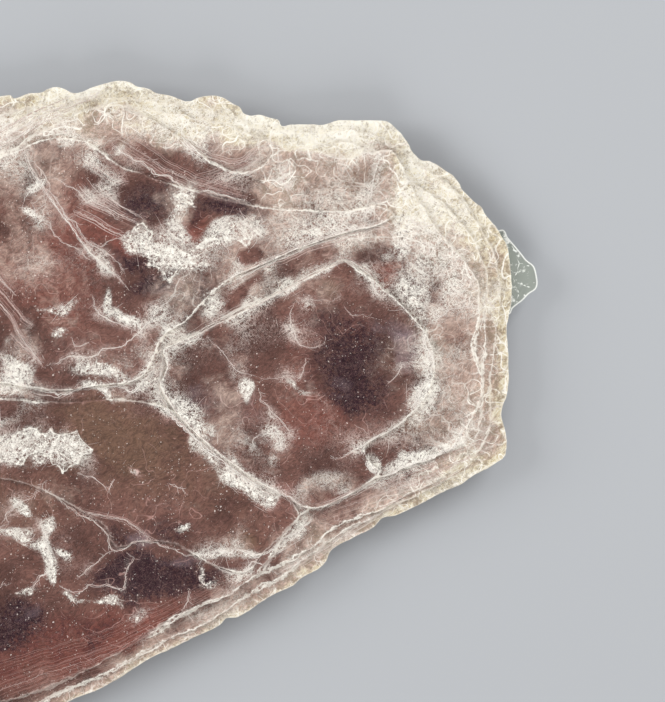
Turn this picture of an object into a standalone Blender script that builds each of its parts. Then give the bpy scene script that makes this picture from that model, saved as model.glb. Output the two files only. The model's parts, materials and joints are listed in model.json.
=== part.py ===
"""A cleavage plate, or book, of lepidolite mica lying on its flat underside.

The book is a stack of thin sheets that grew as one crystal. Each sheet stops at its own torn edge, so the
plate has ledges all round its rim, on its face and on its underside. Everything is fused into one solid.
Outlines are given in millimetres to the right of and below the corner of the view that they were read in,
and are then centred on the plate. Heights are millimetres above the surface that the plate rests on.
"""

import math

import bmesh
import bpy

MM = 0.001
PLATE_CENTRE = (12.0, 41.2)
RIM_POINTS = 170
CURVE_STEP = 1.5
SHEET_OVERLAP = 0.06
PARALLEL_LIMIT = 1e-9

# The rim is averaged over these angles, in degrees, before the other sheets are drawn in from it
EASING_ANGLES = (-5.0, -2.5, 0.0, 2.5, 5.0)

# A torn edge's waves round the rim, as (waves in a turn, share of the height, how the phase shifts them)
TORN_WAVES = ((3, 0.45, 1.0), (7, 0.30, 2.3), (17, 0.20, 3.7), (31, 0.12, 5.1))

# A straight break cuts only the rim that faces it, down to this cosine
BREAK_FACING = 0.05

# Heights of the sheets' lower and upper faces, from the resting face up
FOOT = (0.0, 0.9)
LOWER_LEDGE = (0.9, 1.6)
UNDER_RIM = (1.6, 2.2)
CLEAR_TONGUE = (2.2, 2.45)
TONGUE_BED = (2.2, 2.6)
RIM = (2.6, 3.1)
UPPER_RIM = (3.1, 3.6)
SHOULDER = (3.6, 4.1)
BODY = (4.1, 4.6)
LOWER_LEFT_PANEL = (4.6, 4.85)
UPPER_LEFT_PANEL = (4.6, 5.0)
RIGHT_PANEL = (4.6, 5.2)
TORN_FLAKE = (4.85, 5.1)

# Sheets that follow the rim: how far each is drawn in, its raggedness, the phase of its waves, and its
# straight torn edges, as the direction that each faces in degrees and its distance from the centre
FOOT_EDGE = (8.2, 1.3, 0.4, ((25, 27.0), (150, 31.0), (285, 25.5)))
LOWER_LEDGE_EDGE = (4.6, 1.0, 1.7, ((95, 27.5), (215, 36.0)))
UNDER_RIM_EDGE = (2.3, 0.8, 2.9, ((330, 36.0),))
TONGUE_BED_EDGE = (1.0, 0.45, 4.2, ())
UPPER_RIM_EDGE = (1.0, 0.5, 0.9, ())
SHOULDER_EDGE = (2.1, 0.7, 3.3, ())

# The widest sheet, round the whole rim
RIM_OUTLINE = [
    (0.0, 9.4), (0.9, 9.3), (1.2, 9.6), (2.5, 9.1), (3.7, 9.0), (4.6, 8.6), (5.4, 8.4), (6.3, 8.6),
    (7.1, 9.0), (8.0, 8.9), (9.0, 8.5), (10.6, 8.0), (11.8, 7.8), (13.0, 8.0), (13.6, 8.4), (14.7, 8.6),
    (15.4, 9.0), (16.9, 9.3), (18.7, 9.9), (19.8, 9.5), (21.1, 9.3), (22.3, 9.5), (23.2, 10.1),
    (24.0, 10.5), (24.4, 11.1), (25.1, 11.3), (25.9, 11.2), (26.9, 11.5), (27.9, 11.8), (28.2, 12.4),
    (29.4, 12.2), (32.0, 12.25), (32.8, 12.1), (33.9, 11.8), (35.6, 11.8), (38.2, 11.8), (39.1, 12.1),
    (40.2, 13.1), (41.0, 14.2), (41.3, 14.9), (42.2, 15.8), (43.1, 15.9), (43.8, 16.25), (44.9, 17.0),
    (45.6, 17.5), (46.2, 18.3), (46.4, 18.8), (47.7, 20.1), (48.3, 20.5), (48.8, 21.4), (49.8, 22.6),
    (50.5, 23.8), (51.0, 24.9), (51.2, 26.3), (51.35, 27.9), (51.35, 30.0), (51.1, 31.3), (50.9, 32.6),
    (51.0, 34.6), (51.05, 37.0), (51.05, 38.1), (50.8, 39.6), (50.5, 40.6), (50.35, 41.7), (50.7, 42.9),
    (50.9, 43.9), (50.85, 45.0), (50.5, 45.9), (49.2, 46.8), (47.7, 47.6), (46.4, 48.5), (45.0, 49.1),
    (43.2, 50.0), (40.0, 51.6), (38.4, 52.0), (37.3, 53.0), (34.9, 54.2), (33.2, 55.2), (32.7, 56.2),
    (31.9, 57.1), (30.3, 57.9), (29.3, 58.8), (27.6, 59.6), (26.2, 60.4), (24.9, 61.3), (23.6, 62.0),
    (22.6, 62.1), (21.9, 62.8), (19.8, 63.8), (17.1, 65.1), (15.0, 66.05), (13.5, 67.0), (11.6, 68.2),
    (9.6, 69.3), (7.4, 70.1), (5.0, 71.5), (2.6, 72.0), (-0.4, 73.5), (-2.4, 73.6), (-4.6, 74.4),
    (-6.4, 74.6), (-8.2, 74.4), (-11.0, 73.0), (-12.2, 71.9), (-14.9, 70.6), (-16.2, 69.3),
    (-16.8, 68.6), (-19.3, 66.9), (-20.9, 65.0), (-21.3, 63.6), (-23.2, 61.4), (-24.0, 59.2),
    (-25.6, 56.7), (-26.3, 54.0), (-26.4, 52.2), (-28.0, 50.6), (-28.9, 48.0), (-29.0, 46.2),
    (-29.7, 44.2), (-30.0, 42.3), (-29.7, 40.4), (-29.8, 36.9), (-29.0, 33.6), (-28.7, 31.5),
    (-27.4, 30.4), (-27.0, 28.6), (-25.9, 26.2), (-24.0, 24.2), (-23.3, 22.2), (-22.4, 21.3),
    (-20.4, 20.2), (-19.2, 18.0), (-17.8, 17.2), (-15.2, 16.0), (-14.2, 14.4), (-13.0, 13.9),
    (-10.9, 13.3), (-9.8, 12.0), (-8.6, 11.6), (-6.0, 11.4), (-4.6, 10.3), (-3.2, 10.2), (-1.4, 9.6),
]

# The thin colourless tongue that the right end of the book leaves bare
TONGUE_OUTLINE = [
    (50.2, 22.8), (51.1, 23.8), (52.25, 25.1), (52.9, 25.95), (53.5, 26.4), (53.8, 27.1), (54.0, 28.2),
    (53.8, 28.9), (53.1, 29.4), (52.5, 30.0), (51.5, 30.8), (51.0, 31.5), (48.5, 31.6), (46.4, 28.6),
    (47.4, 24.6),
]

# The purple body, which stops short of the pale rim
BODY_OUTLINE = [
    (0.0, 14.8), (3.0, 13.2), (6.2, 11.7), (9.6, 10.4), (12.4, 10.2), (15.2, 11.4), (17.6, 13.0),
    (20.0, 14.8), (22.0, 16.2), (24.0, 16.8), (25.8, 16.2), (27.4, 14.9), (28.6, 14.3), (31.0, 14.5),
    (34.0, 15.3), (37.0, 14.8), (39.2, 14.6), (40.4, 16.0), (41.2, 18.2), (42.6, 20.4), (44.2, 22.8),
    (46.6, 25.4), (48.2, 28.4), (48.4, 31.6), (47.8, 34.6), (48.6, 37.6), (48.4, 40.2), (47.2, 42.6),
    (46.6, 44.4), (44.0, 45.8), (41.4, 46.8), (38.4, 48.0), (36.0, 49.4), (33.6, 50.6), (31.1, 51.2),
    (29.6, 52.6), (28.2, 54.8), (26.8, 57.0), (24.6, 58.9), (21.4, 60.6), (17.6, 62.4), (13.6, 64.6),
    (9.4, 67.0), (5.2, 69.0), (0.6, 70.4), (-4.0, 71.4), (-9.0, 71.8), (-13.2, 70.0), (-16.6, 67.2),
    (-19.4, 64.0), (-22.0, 59.8), (-24.2, 55.0), (-26.0, 50.0), (-27.2, 45.0), (-26.8, 40.0),
    (-26.6, 34.6), (-25.0, 30.0), (-22.8, 25.8), (-19.6, 22.0), (-15.8, 18.8), (-11.0, 16.4),
    (-5.4, 15.4),
]

# Panels of sheet that are left standing on the body
RIGHT_PANEL_OUTLINE = [
    (16.2, 34.9), (18.0, 34.0), (22.3, 31.95), (26.6, 29.7), (30.4, 27.8), (34.2, 26.0), (36.1, 27.0),
    (37.3, 27.8), (38.4, 28.8), (39.9, 30.1), (41.4, 31.6), (42.8, 33.4), (43.6, 35.8), (43.4, 38.2),
    (42.4, 40.2), (41.2, 41.5), (39.4, 43.0), (37.6, 44.0), (36.6, 44.8), (37.2, 46.2), (38.2, 47.2),
    (36.4, 48.8), (34.0, 50.0), (31.1, 51.0), (28.6, 49.9), (26.0, 48.5), (23.4, 46.7), (20.8, 44.7),
    (18.6, 42.6), (16.8, 40.4), (15.8, 38.5), (16.6, 36.8),
]
UPPER_LEFT_OUTLINE = [
    (0.0, 38.4), (3.0, 38.9), (6.0, 39.2), (9.5, 38.8), (12.5, 38.5), (14.6, 37.4), (15.5, 35.6),
    (16.6, 33.6), (18.6, 32.2), (22.0, 28.8), (26.2, 26.6), (30.9, 24.7), (35.2, 23.3), (38.0, 22.6),
    (39.6, 21.4), (37.6, 20.4), (34.4, 21.0), (31.0, 20.9), (27.8, 20.8), (25.0, 20.3), (20.7, 19.2),
    (17.2, 18.2), (15.5, 17.7), (12.0, 16.4), (10.0, 14.9), (8.4, 13.9), (5.0, 13.7), (1.8, 14.9),
    (-2.6, 16.6), (-8.0, 18.6), (-13.4, 21.4), (-17.8, 25.2), (-20.8, 29.8), (-22.0, 34.6),
    (-19.4, 38.0), (-14.6, 37.4), (-9.8, 38.2), (-5.0, 37.6),
]
LOWER_LEFT_OUTLINE = [
    (-17.6, 41.6), (-14.0, 40.0), (-9.6, 39.7), (-5.0, 39.2), (0.0, 39.7), (6.0, 40.1), (11.0, 39.8),
    (15.2, 40.2), (18.4, 41.4), (22.6, 44.2), (27.4, 48.0), (30.0, 51.2), (28.6, 53.2), (26.4, 55.4),
    (24.6, 57.4), (21.5, 56.8), (19.8, 55.9), (17.2, 54.5), (14.1, 54.35), (11.5, 54.9), (10.3, 52.8),
    (8.6, 51.6), (6.5, 50.4), (4.0, 49.0), (1.2, 48.2), (-3.0, 47.4), (-8.0, 47.6), (-12.6, 49.4),
    (-17.0, 48.6), (-19.6, 45.0),
]
TORN_FLAKE_OUTLINE = [
    (-1.8, 44.2), (0.4, 43.2), (2.8, 41.9), (5.6, 41.6), (8.0, 42.2), (9.2, 43.6), (8.9, 45.0),
    (7.4, 46.2), (5.8, 47.0), (4.8, 45.6), (3.2, 45.2), (1.6, 46.2), (-0.4, 46.6), (-2.2, 46.0),
]

# Folds: low raised creases in a panel, as (half width, height above the panel, top of the panel, route)
FOLD_DEPTH = 0.12
FOLD_END_SHARE = 0.25
FOLDS = [
    (0.22, 0.12, UPPER_LEFT_PANEL[1],
     [(2.3, 15.4), (3.3, 17.1), (4.8, 19.4), (6.2, 21.5), (7.6, 23.3), (9.3, 25.4), (11.0, 27.0),
      (12.6, 28.5)]),
    (0.20, 0.10, UPPER_LEFT_PANEL[1],
     [(8.0, 18.3), (10.4, 20.0), (12.6, 21.4), (15.2, 22.4)]),
    (0.24, 0.14, UPPER_LEFT_PANEL[1],
     [(12.6, 17.3), (15.5, 18.4), (18.4, 19.2), (21.2, 20.0), (24.6, 20.9)]),
    (0.18, 0.10, RIGHT_PANEL[1],
     [(20.4, 36.0), (23.0, 38.2), (25.0, 40.0), (27.4, 42.6), (29.4, 45.4)]),
    (0.20, 0.12, LOWER_LEFT_PANEL[1],
     [(1.0, 39.9), (4.8, 40.6), (9.6, 40.4), (13.4, 40.8), (16.4, 42.8)]),
    (0.20, 0.12, BODY[1],
     [(11.6, 55.5), (9.6, 56.9), (7.8, 57.8), (5.4, 59.4)]),
]

LEPIDOLITE_LILAC = (0.24, 0.13, 0.12, 1.0)
CLEAVAGE_ROUGHNESS = 0.35


def smooth_curve(points, closed=True):
    """Points along a Catmull-Rom curve through the given ones, about CURVE_STEP apart."""
    count = len(points)
    spans = count if closed else count - 1
    along = []
    for i in range(spans):
        if closed:
            p0, p1, p2, p3 = (points[(i + k) % count] for k in (-1, 0, 1, 2))
        else:
            p0, p1, p2, p3 = (points[min(max(i + k, 0), count - 1)] for k in (-1, 0, 1, 2))
        steps = max(1, round(math.dist(p1, p2) / CURVE_STEP))
        for j in range(steps):
            t = j / steps
            along.append(tuple(
                0.5 * (2 * b + (c - a) * t
                       + (2 * a - 5 * b + 4 * c - d) * t ** 2
                       + (3 * b - a - 3 * c + d) * t ** 3)
                for a, b, c, d in zip(p0, p1, p2, p3)
            ))
    if not closed:
        along.append(points[-1])
    return along


def rim_radius(angle):
    """Distance from the plate's centre to the rim outline in one direction, by the edge that it crosses."""
    cx, cy = PLATE_CENTRE
    dx, dy = math.cos(angle), math.sin(angle)
    farthest = 0.0
    for (x1, y1), (x2, y2) in zip(RIM_OUTLINE, RIM_OUTLINE[1:] + RIM_OUTLINE[:1]):
        ex, ey = x2 - x1, y2 - y1
        cross = dx * ey - dy * ex
        if abs(cross) < PARALLEL_LIMIT:
            continue
        reach = ((x1 - cx) * ey - (y1 - cy) * ex) / cross
        share = ((x1 - cx) * dy - (y1 - cy) * dx) / cross
        if 0.0 <= share <= 1.0:
            farthest = max(farthest, reach)
    return farthest


def eased_rim_radius(angle):
    """The rim's distance with its small scallops evened out, which the other sheets follow."""
    return sum(rim_radius(angle + math.radians(off)) for off in EASING_ANGLES) / len(EASING_ANGLES)


def wobble(angle, phase):
    """A smooth ragged wave round the rim, between about -1 and 1."""
    return sum(share * math.sin(waves * angle + shift * phase) for waves, share, shift in TORN_WAVES)


def inset_outline(inset, waver, phase, breaks):
    """The rim drawn inwards by inset, give or take waver, and cut short at each straight break."""
    cx, cy = PLATE_CENTRE
    outline = []
    for i in range(RIM_POINTS):
        angle = 2 * math.pi * i / RIM_POINTS
        radius = eased_rim_radius(angle) - inset - waver * wobble(angle, phase)
        for facing, distance in breaks:
            towards = math.cos(angle - math.radians(facing))
            if towards > BREAK_FACING:
                radius = min(radius, distance / towards)
        outline.append((cx + radius * math.cos(angle), cy + radius * math.sin(angle)))
    return outline


def plate_point(point, height):
    """A point of an outline, placed on the centred plate, in metres."""
    x, y = point
    return (x - PLATE_CENTRE[0]) * MM, (PLATE_CENTRE[1] - y) * MM, height * MM


def mesh_object(name, mesh_data, collection):
    mesh = bpy.data.meshes.new(name)
    bmesh.ops.recalc_face_normals(mesh_data, faces=mesh_data.faces)
    mesh_data.to_mesh(mesh)
    mesh_data.free()
    obj = bpy.data.objects.new(name, mesh)
    collection.objects.link(obj)
    return obj


def sheet(name, outline, heights, collection, sink=SHEET_OVERLAP):
    """One flat sheet, sunk a little into the sheet below so that the two join."""
    low, high = heights
    bm = bmesh.new()
    lower = [bm.verts.new(plate_point(p, low - sink)) for p in outline]
    face = bm.faces.new(lower)
    raised = bmesh.ops.extrude_face_region(bm, geom=[face])
    top = [v for v in raised["geom"] if isinstance(v, bmesh.types.BMVert)]
    bmesh.ops.translate(bm, verts=top, vec=(0, 0, (high - low + sink) * MM))
    return mesh_object(name, bm, collection)


def fold(name, half_width, height, panel_top, route, collection):
    """A low crease with a sharp back that runs out to nothing at both ends."""
    line = smooth_curve(route, closed=False)
    bm = bmesh.new()
    rings = []
    for i, (x, y) in enumerate(line):
        x0, y0 = line[max(i - 1, 0)]
        x1, y1 = line[min(i + 1, len(line) - 1)]
        length = math.dist((x0, y0), (x1, y1))
        side = ((y0 - y1) / length, (x1 - x0) / length)
        swell = FOLD_END_SHARE + (1 - FOLD_END_SHARE) * math.sin(math.pi * i / (len(line) - 1))
        reach = half_width * swell
        corners = (
            ((x - reach * side[0], y - reach * side[1]), panel_top - FOLD_DEPTH),
            ((x + reach * side[0], y + reach * side[1]), panel_top - FOLD_DEPTH),
            ((x, y), panel_top + height * swell),
        )
        rings.append([bm.verts.new(plate_point(p, h)) for p, h in corners])
    for near, far in zip(rings, rings[1:]):
        for a, b in ((0, 1), (1, 2), (2, 0)):
            bm.faces.new((near[a], near[b], far[b], far[a]))
    bm.faces.new(rings[0][::-1])
    bm.faces.new(rings[-1])
    return mesh_object(name, bm, collection)


def lepidolite_material():
    material = bpy.data.materials.new("lepidolite")
    material.use_nodes = True
    shader = material.node_tree.nodes["Principled BSDF"]
    shader.inputs["Base Color"].default_value = LEPIDOLITE_LILAC
    shader.inputs["Roughness"].default_value = CLEAVAGE_ROUGHNESS
    shader.inputs["Metallic"].default_value = 0.0
    return material


def build():
    for obj in list(bpy.data.objects):
        bpy.data.objects.remove(obj)
    scene_collection = bpy.context.scene.collection
    layers = bpy.data.collections.new("layers")
    scene_collection.children.link(layers)

    # The sheets below and above the widest one
    stacked = [
        ("foot", FOOT, inset_outline(*FOOT_EDGE)),
        ("lower_ledge", LOWER_LEDGE, inset_outline(*LOWER_LEDGE_EDGE)),
        ("under_rim", UNDER_RIM, inset_outline(*UNDER_RIM_EDGE)),
        ("tongue_bed", TONGUE_BED, inset_outline(*TONGUE_BED_EDGE)),
        ("upper_rim", UPPER_RIM, inset_outline(*UPPER_RIM_EDGE)),
        ("shoulder", SHOULDER, inset_outline(*SHOULDER_EDGE)),
        ("clear_tongue", CLEAR_TONGUE, smooth_curve(TONGUE_OUTLINE)),
        ("body", BODY, smooth_curve(BODY_OUTLINE)),
        ("lower_left_panel", LOWER_LEFT_PANEL, smooth_curve(LOWER_LEFT_OUTLINE)),
        ("upper_left_panel", UPPER_LEFT_PANEL, smooth_curve(UPPER_LEFT_OUTLINE)),
        ("right_panel", RIGHT_PANEL, smooth_curve(RIGHT_PANEL_OUTLINE)),
        ("torn_flake", TORN_FLAKE, smooth_curve(TORN_FLAKE_OUTLINE)),
    ]
    for name, heights, outline in stacked:
        sink = 0.0 if name == "foot" else SHEET_OVERLAP
        sheet(name, outline, heights, layers, sink)
    for number, (half_width, height, panel_top, route) in enumerate(FOLDS, 1):
        fold(f"fold_{number}", half_width, height, panel_top, route, layers)
    for helper in layers.objects:
        helper.hide_render = True
        helper.display_type = "WIRE"

    # The rim sheet takes all the others in, and is the one piece of the part
    book = sheet("lepidolite_book", smooth_curve(RIM_OUTLINE), RIM, scene_collection)
    book.data.materials.append(lepidolite_material())
    join = book.modifiers.new("join_layers", "BOOLEAN")
    join.operation = "UNION"
    join.solver = "EXACT"
    join.operand_type = "COLLECTION"
    join.collection = layers


build()
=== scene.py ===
import json
import math

import bpy
import numpy as np
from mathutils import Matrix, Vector, kdtree
from mathutils.geometry import delaunay_2d_cdt

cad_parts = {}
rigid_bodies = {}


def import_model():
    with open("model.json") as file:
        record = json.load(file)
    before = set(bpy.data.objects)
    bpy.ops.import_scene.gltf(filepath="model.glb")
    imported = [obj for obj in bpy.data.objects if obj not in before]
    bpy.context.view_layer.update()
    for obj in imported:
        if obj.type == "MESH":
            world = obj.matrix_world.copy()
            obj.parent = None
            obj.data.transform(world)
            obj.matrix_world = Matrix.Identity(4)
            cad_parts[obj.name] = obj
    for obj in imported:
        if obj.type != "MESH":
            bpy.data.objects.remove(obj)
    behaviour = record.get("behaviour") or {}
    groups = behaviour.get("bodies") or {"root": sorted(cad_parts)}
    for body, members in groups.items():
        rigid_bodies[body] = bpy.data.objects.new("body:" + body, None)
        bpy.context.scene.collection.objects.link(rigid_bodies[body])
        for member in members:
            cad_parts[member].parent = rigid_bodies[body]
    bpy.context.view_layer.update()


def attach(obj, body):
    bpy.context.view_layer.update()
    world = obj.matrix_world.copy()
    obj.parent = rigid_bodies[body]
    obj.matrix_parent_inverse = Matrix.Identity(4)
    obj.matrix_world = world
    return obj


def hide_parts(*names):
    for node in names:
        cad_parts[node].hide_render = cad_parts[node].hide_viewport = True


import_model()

# The book of lepidolite: one crystal of mica that grew as a stack of thin leaves and was split out of its
# rock along them. Each leaf stops at its own torn edge, so the rim and the face are ledged like a worn book.
# Outlines are millimetres right of and below the view's upper left corner, and heights are above the floor.
MM = 0.001
PLATE_CENTRE = (12.0, 41.2)
RIM_OUTLINE = [
    (0.0, 9.4), (0.9, 9.3), (1.2, 9.6), (2.5, 9.1), (3.7, 9.0), (4.6, 8.6), (5.4, 8.4), (6.3, 8.6),
    (7.1, 9.0), (8.0, 8.9), (9.0, 8.5), (10.6, 8.0), (11.8, 7.8), (13.0, 8.0), (13.6, 8.4), (14.7, 8.6),
    (15.4, 9.0), (16.9, 9.3), (18.7, 9.9), (19.8, 9.5), (21.1, 9.3), (22.3, 9.5), (23.2, 10.1),
    (24.0, 10.5), (24.4, 11.1), (25.1, 11.3), (25.9, 11.2), (26.9, 11.5), (27.9, 11.8), (28.2, 12.4),
    (29.4, 12.2), (32.0, 12.25), (32.8, 12.1), (33.9, 11.8), (35.6, 11.8), (38.2, 11.8), (39.1, 12.1),
    (40.2, 13.1), (41.0, 14.2), (41.3, 14.9), (42.2, 15.8), (43.1, 15.9), (43.8, 16.25), (44.9, 17.0),
    (45.6, 17.5), (46.2, 18.3), (46.4, 18.8), (47.7, 20.1), (48.3, 20.5), (48.8, 21.4), (49.8, 22.6),
    (50.5, 23.8), (51.0, 24.9), (51.2, 26.3), (51.35, 27.9), (51.35, 30.0), (51.1, 31.3), (50.9, 32.6),
    (51.0, 34.6), (51.05, 37.0), (51.05, 38.1), (50.8, 39.6), (50.5, 40.6), (50.35, 41.7), (50.7, 42.9),
    (50.9, 43.9), (50.85, 45.0), (50.5, 45.9), (49.2, 46.8), (47.7, 47.6), (46.4, 48.5), (45.0, 49.1),
    (43.2, 50.0), (40.0, 51.6), (38.4, 52.0), (37.3, 53.0), (34.9, 54.2), (33.2, 55.2), (32.7, 56.2),
    (31.9, 57.1), (30.3, 57.9), (29.3, 58.8), (27.6, 59.6), (26.2, 60.4), (24.9, 61.3), (23.6, 62.0),
    (22.6, 62.1), (21.9, 62.8), (19.8, 63.8), (17.1, 65.1), (15.0, 66.05), (13.5, 67.0), (11.6, 68.2),
    (9.6, 69.3), (7.4, 70.1), (5.0, 71.5), (2.6, 72.0), (-0.4, 73.5), (-2.4, 73.6), (-4.6, 74.4),
    (-6.4, 74.6), (-8.2, 74.4), (-11.0, 73.0), (-12.2, 71.9), (-14.9, 70.6), (-16.2, 69.3), (-16.8, 68.6),
    (-19.3, 66.9), (-20.9, 65.0), (-21.3, 63.6), (-23.2, 61.4), (-24.0, 59.2), (-25.6, 56.7),
    (-26.3, 54.0), (-26.4, 52.2), (-28.0, 50.6), (-28.9, 48.0), (-29.0, 46.2), (-29.7, 44.2),
    (-30.0, 42.3), (-29.7, 40.4), (-29.8, 36.9), (-29.0, 33.6), (-28.7, 31.5), (-27.4, 30.4),
    (-27.0, 28.6), (-25.9, 26.2), (-24.0, 24.2), (-23.3, 22.2), (-22.4, 21.3), (-20.4, 20.2),
    (-19.2, 18.0), (-17.8, 17.2), (-15.2, 16.0), (-14.2, 14.4), (-13.0, 13.9), (-10.9, 13.3),
    (-9.8, 12.0), (-8.6, 11.6), (-6.0, 11.4), (-4.6, 10.3), (-3.2, 10.2), (-1.4, 9.6),
]
BODY_OUTLINE = [
    (0.0, 14.8), (3.0, 13.2), (6.2, 11.7), (9.6, 10.4), (12.4, 10.2), (15.2, 11.4), (17.6, 13.0),
    (20.0, 14.8), (22.0, 16.2), (24.0, 16.8), (25.8, 16.2), (27.4, 14.9), (28.6, 14.3), (31.0, 14.5),
    (34.0, 15.3), (37.0, 14.8), (39.2, 14.6), (40.4, 16.0), (41.2, 18.2), (42.6, 20.4), (44.2, 22.8),
    (46.6, 25.4), (48.2, 28.4), (48.4, 31.6), (47.8, 34.6), (48.6, 37.6), (48.4, 40.2), (47.2, 42.6),
    (46.6, 44.4), (44.0, 45.8), (41.4, 46.8), (38.4, 48.0), (36.0, 49.4), (33.6, 50.6), (31.1, 51.2),
    (29.6, 52.6), (28.2, 54.8), (26.8, 57.0), (24.6, 58.9), (21.4, 60.6), (17.6, 62.4), (13.6, 64.6),
    (9.4, 67.0), (5.2, 69.0), (0.6, 70.4), (-4.0, 71.4), (-9.0, 71.8), (-13.2, 70.0), (-16.6, 67.2),
    (-19.4, 64.0), (-22.0, 59.8), (-24.2, 55.0), (-26.0, 50.0), (-27.2, 45.0), (-26.8, 40.0),
    (-26.6, 34.6), (-25.0, 30.0), (-22.8, 25.8), (-19.6, 22.0), (-15.8, 18.8), (-11.0, 16.4), (-5.4, 15.4),
]
RIGHT_PANEL_OUTLINE = [
    (16.2, 34.9), (18.0, 34.0), (22.3, 31.95), (26.6, 29.7), (30.4, 27.8), (34.2, 26.0), (36.1, 27.0),
    (37.3, 27.8), (38.4, 28.8), (39.9, 30.1), (41.4, 31.6), (42.8, 33.4), (43.6, 35.8), (43.4, 38.2),
    (42.4, 40.2), (41.2, 41.5), (39.4, 43.0), (37.6, 44.0), (36.6, 44.8), (37.2, 46.2), (38.2, 47.2),
    (36.4, 48.8), (34.0, 50.0), (31.1, 51.0), (28.6, 49.9), (26.0, 48.5), (23.4, 46.7), (20.8, 44.7),
    (18.6, 42.6), (16.8, 40.4), (15.8, 38.5), (16.6, 36.8),
]
UPPER_LEFT_OUTLINE = [
    (0.0, 38.4), (3.0, 38.9), (6.0, 39.2), (9.5, 38.8), (12.5, 38.5), (14.6, 37.4), (15.5, 35.6),
    (16.6, 33.6), (18.6, 32.2), (22.0, 28.8), (26.2, 26.6), (30.9, 24.7), (35.2, 23.3), (38.0, 22.6),
    (39.6, 21.4), (37.6, 20.4), (34.4, 21.0), (31.0, 20.9), (27.8, 20.8), (25.0, 20.3), (20.7, 19.2),
    (17.2, 18.2), (15.5, 17.7), (12.0, 16.4), (10.0, 14.9), (8.4, 13.9), (5.0, 13.7), (1.8, 14.9),
    (-2.6, 16.6), (-8.0, 18.6), (-13.4, 21.4), (-17.8, 25.2), (-20.8, 29.8), (-22.0, 34.6), (-19.4, 38.0),
    (-14.6, 37.4), (-9.8, 38.2), (-5.0, 37.6),
]
LOWER_LEFT_OUTLINE = [
    (-17.6, 41.6), (-14.0, 40.0), (-9.6, 39.7), (-5.0, 39.2), (0.0, 39.7), (6.0, 40.1), (11.0, 39.8),
    (15.2, 40.2), (18.4, 41.4), (22.6, 44.2), (27.4, 48.0), (30.0, 51.2), (28.6, 53.2), (26.4, 55.4),
    (24.6, 57.4), (21.5, 56.8), (19.8, 55.9), (17.2, 54.5), (14.1, 54.35), (11.5, 54.9), (10.3, 52.8),
    (8.6, 51.6), (6.5, 50.4), (4.0, 49.0), (1.2, 48.2), (-3.0, 47.4), (-8.0, 47.6), (-12.6, 49.4),
    (-17.0, 48.6), (-19.6, 45.0),
]
TORN_FLAKE_OUTLINE = [
    (-1.8, 44.6), (-0.4, 44.8), (0.8, 44.2), (1.6, 43.3), (2.2, 42.9), (3.2, 42.6), (4.2, 43.0),
    (5.0, 42.6), (5.8, 43.0), (6.8, 43.0), (7.8, 42.7), (8.2, 43.2), (8.6, 44.0), (9.2, 44.5),
    (9.5, 44.9), (9.2, 45.4), (8.6, 45.5), (8.2, 45.9), (7.8, 46.6), (7.0, 46.9), (6.6, 47.3),
    (6.1, 47.4), (5.6, 46.9), (5.1, 46.6), (4.9, 46.1), (4.4, 45.6), (3.8, 45.4), (3.2, 45.7),
    (2.8, 46.1), (2.4, 46.6), (1.8, 46.7), (1.2, 46.3), (0.4, 46.0), (-0.6, 46.4), (-2.2, 46.2),
]
LIFTED_FLAKE_OUTLINES = [
    [(17.1, 19.3), (17.8, 19.0), (18.4, 19.3), (18.9, 19.6), (19.5, 20.3), (19.7, 20.9), (19.0, 20.9),
     (18.4, 20.5), (17.9, 20.0), (17.2, 20.0)],
    [(13.0, 23.0), (13.5, 22.2), (14.3, 22.1), (15.0, 22.8), (15.7, 23.4), (15.3, 24.3), (15.0, 25.3),
     (14.2, 25.1), (13.2, 24.9), (12.9, 24.0)],
    [(14.7, 25.7), (15.5, 25.1), (16.6, 24.5), (17.6, 24.9), (19.0, 25.3), (19.3, 26.2), (18.3, 26.7),
     (17.3, 27.5), (17.0, 28.5), (16.3, 28.1), (15.6, 27.1), (14.5, 26.7)],
    [(19.0, 25.0), (19.4, 24.3), (20.8, 23.5), (21.8, 22.9), (22.8, 22.2), (23.8, 21.7), (24.4, 22.2),
     (25.0, 23.0), (25.4, 24.2), (24.7, 24.8), (23.4, 24.3), (22.4, 24.4), (21.2, 24.4), (20.2, 25.2)],
]

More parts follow.
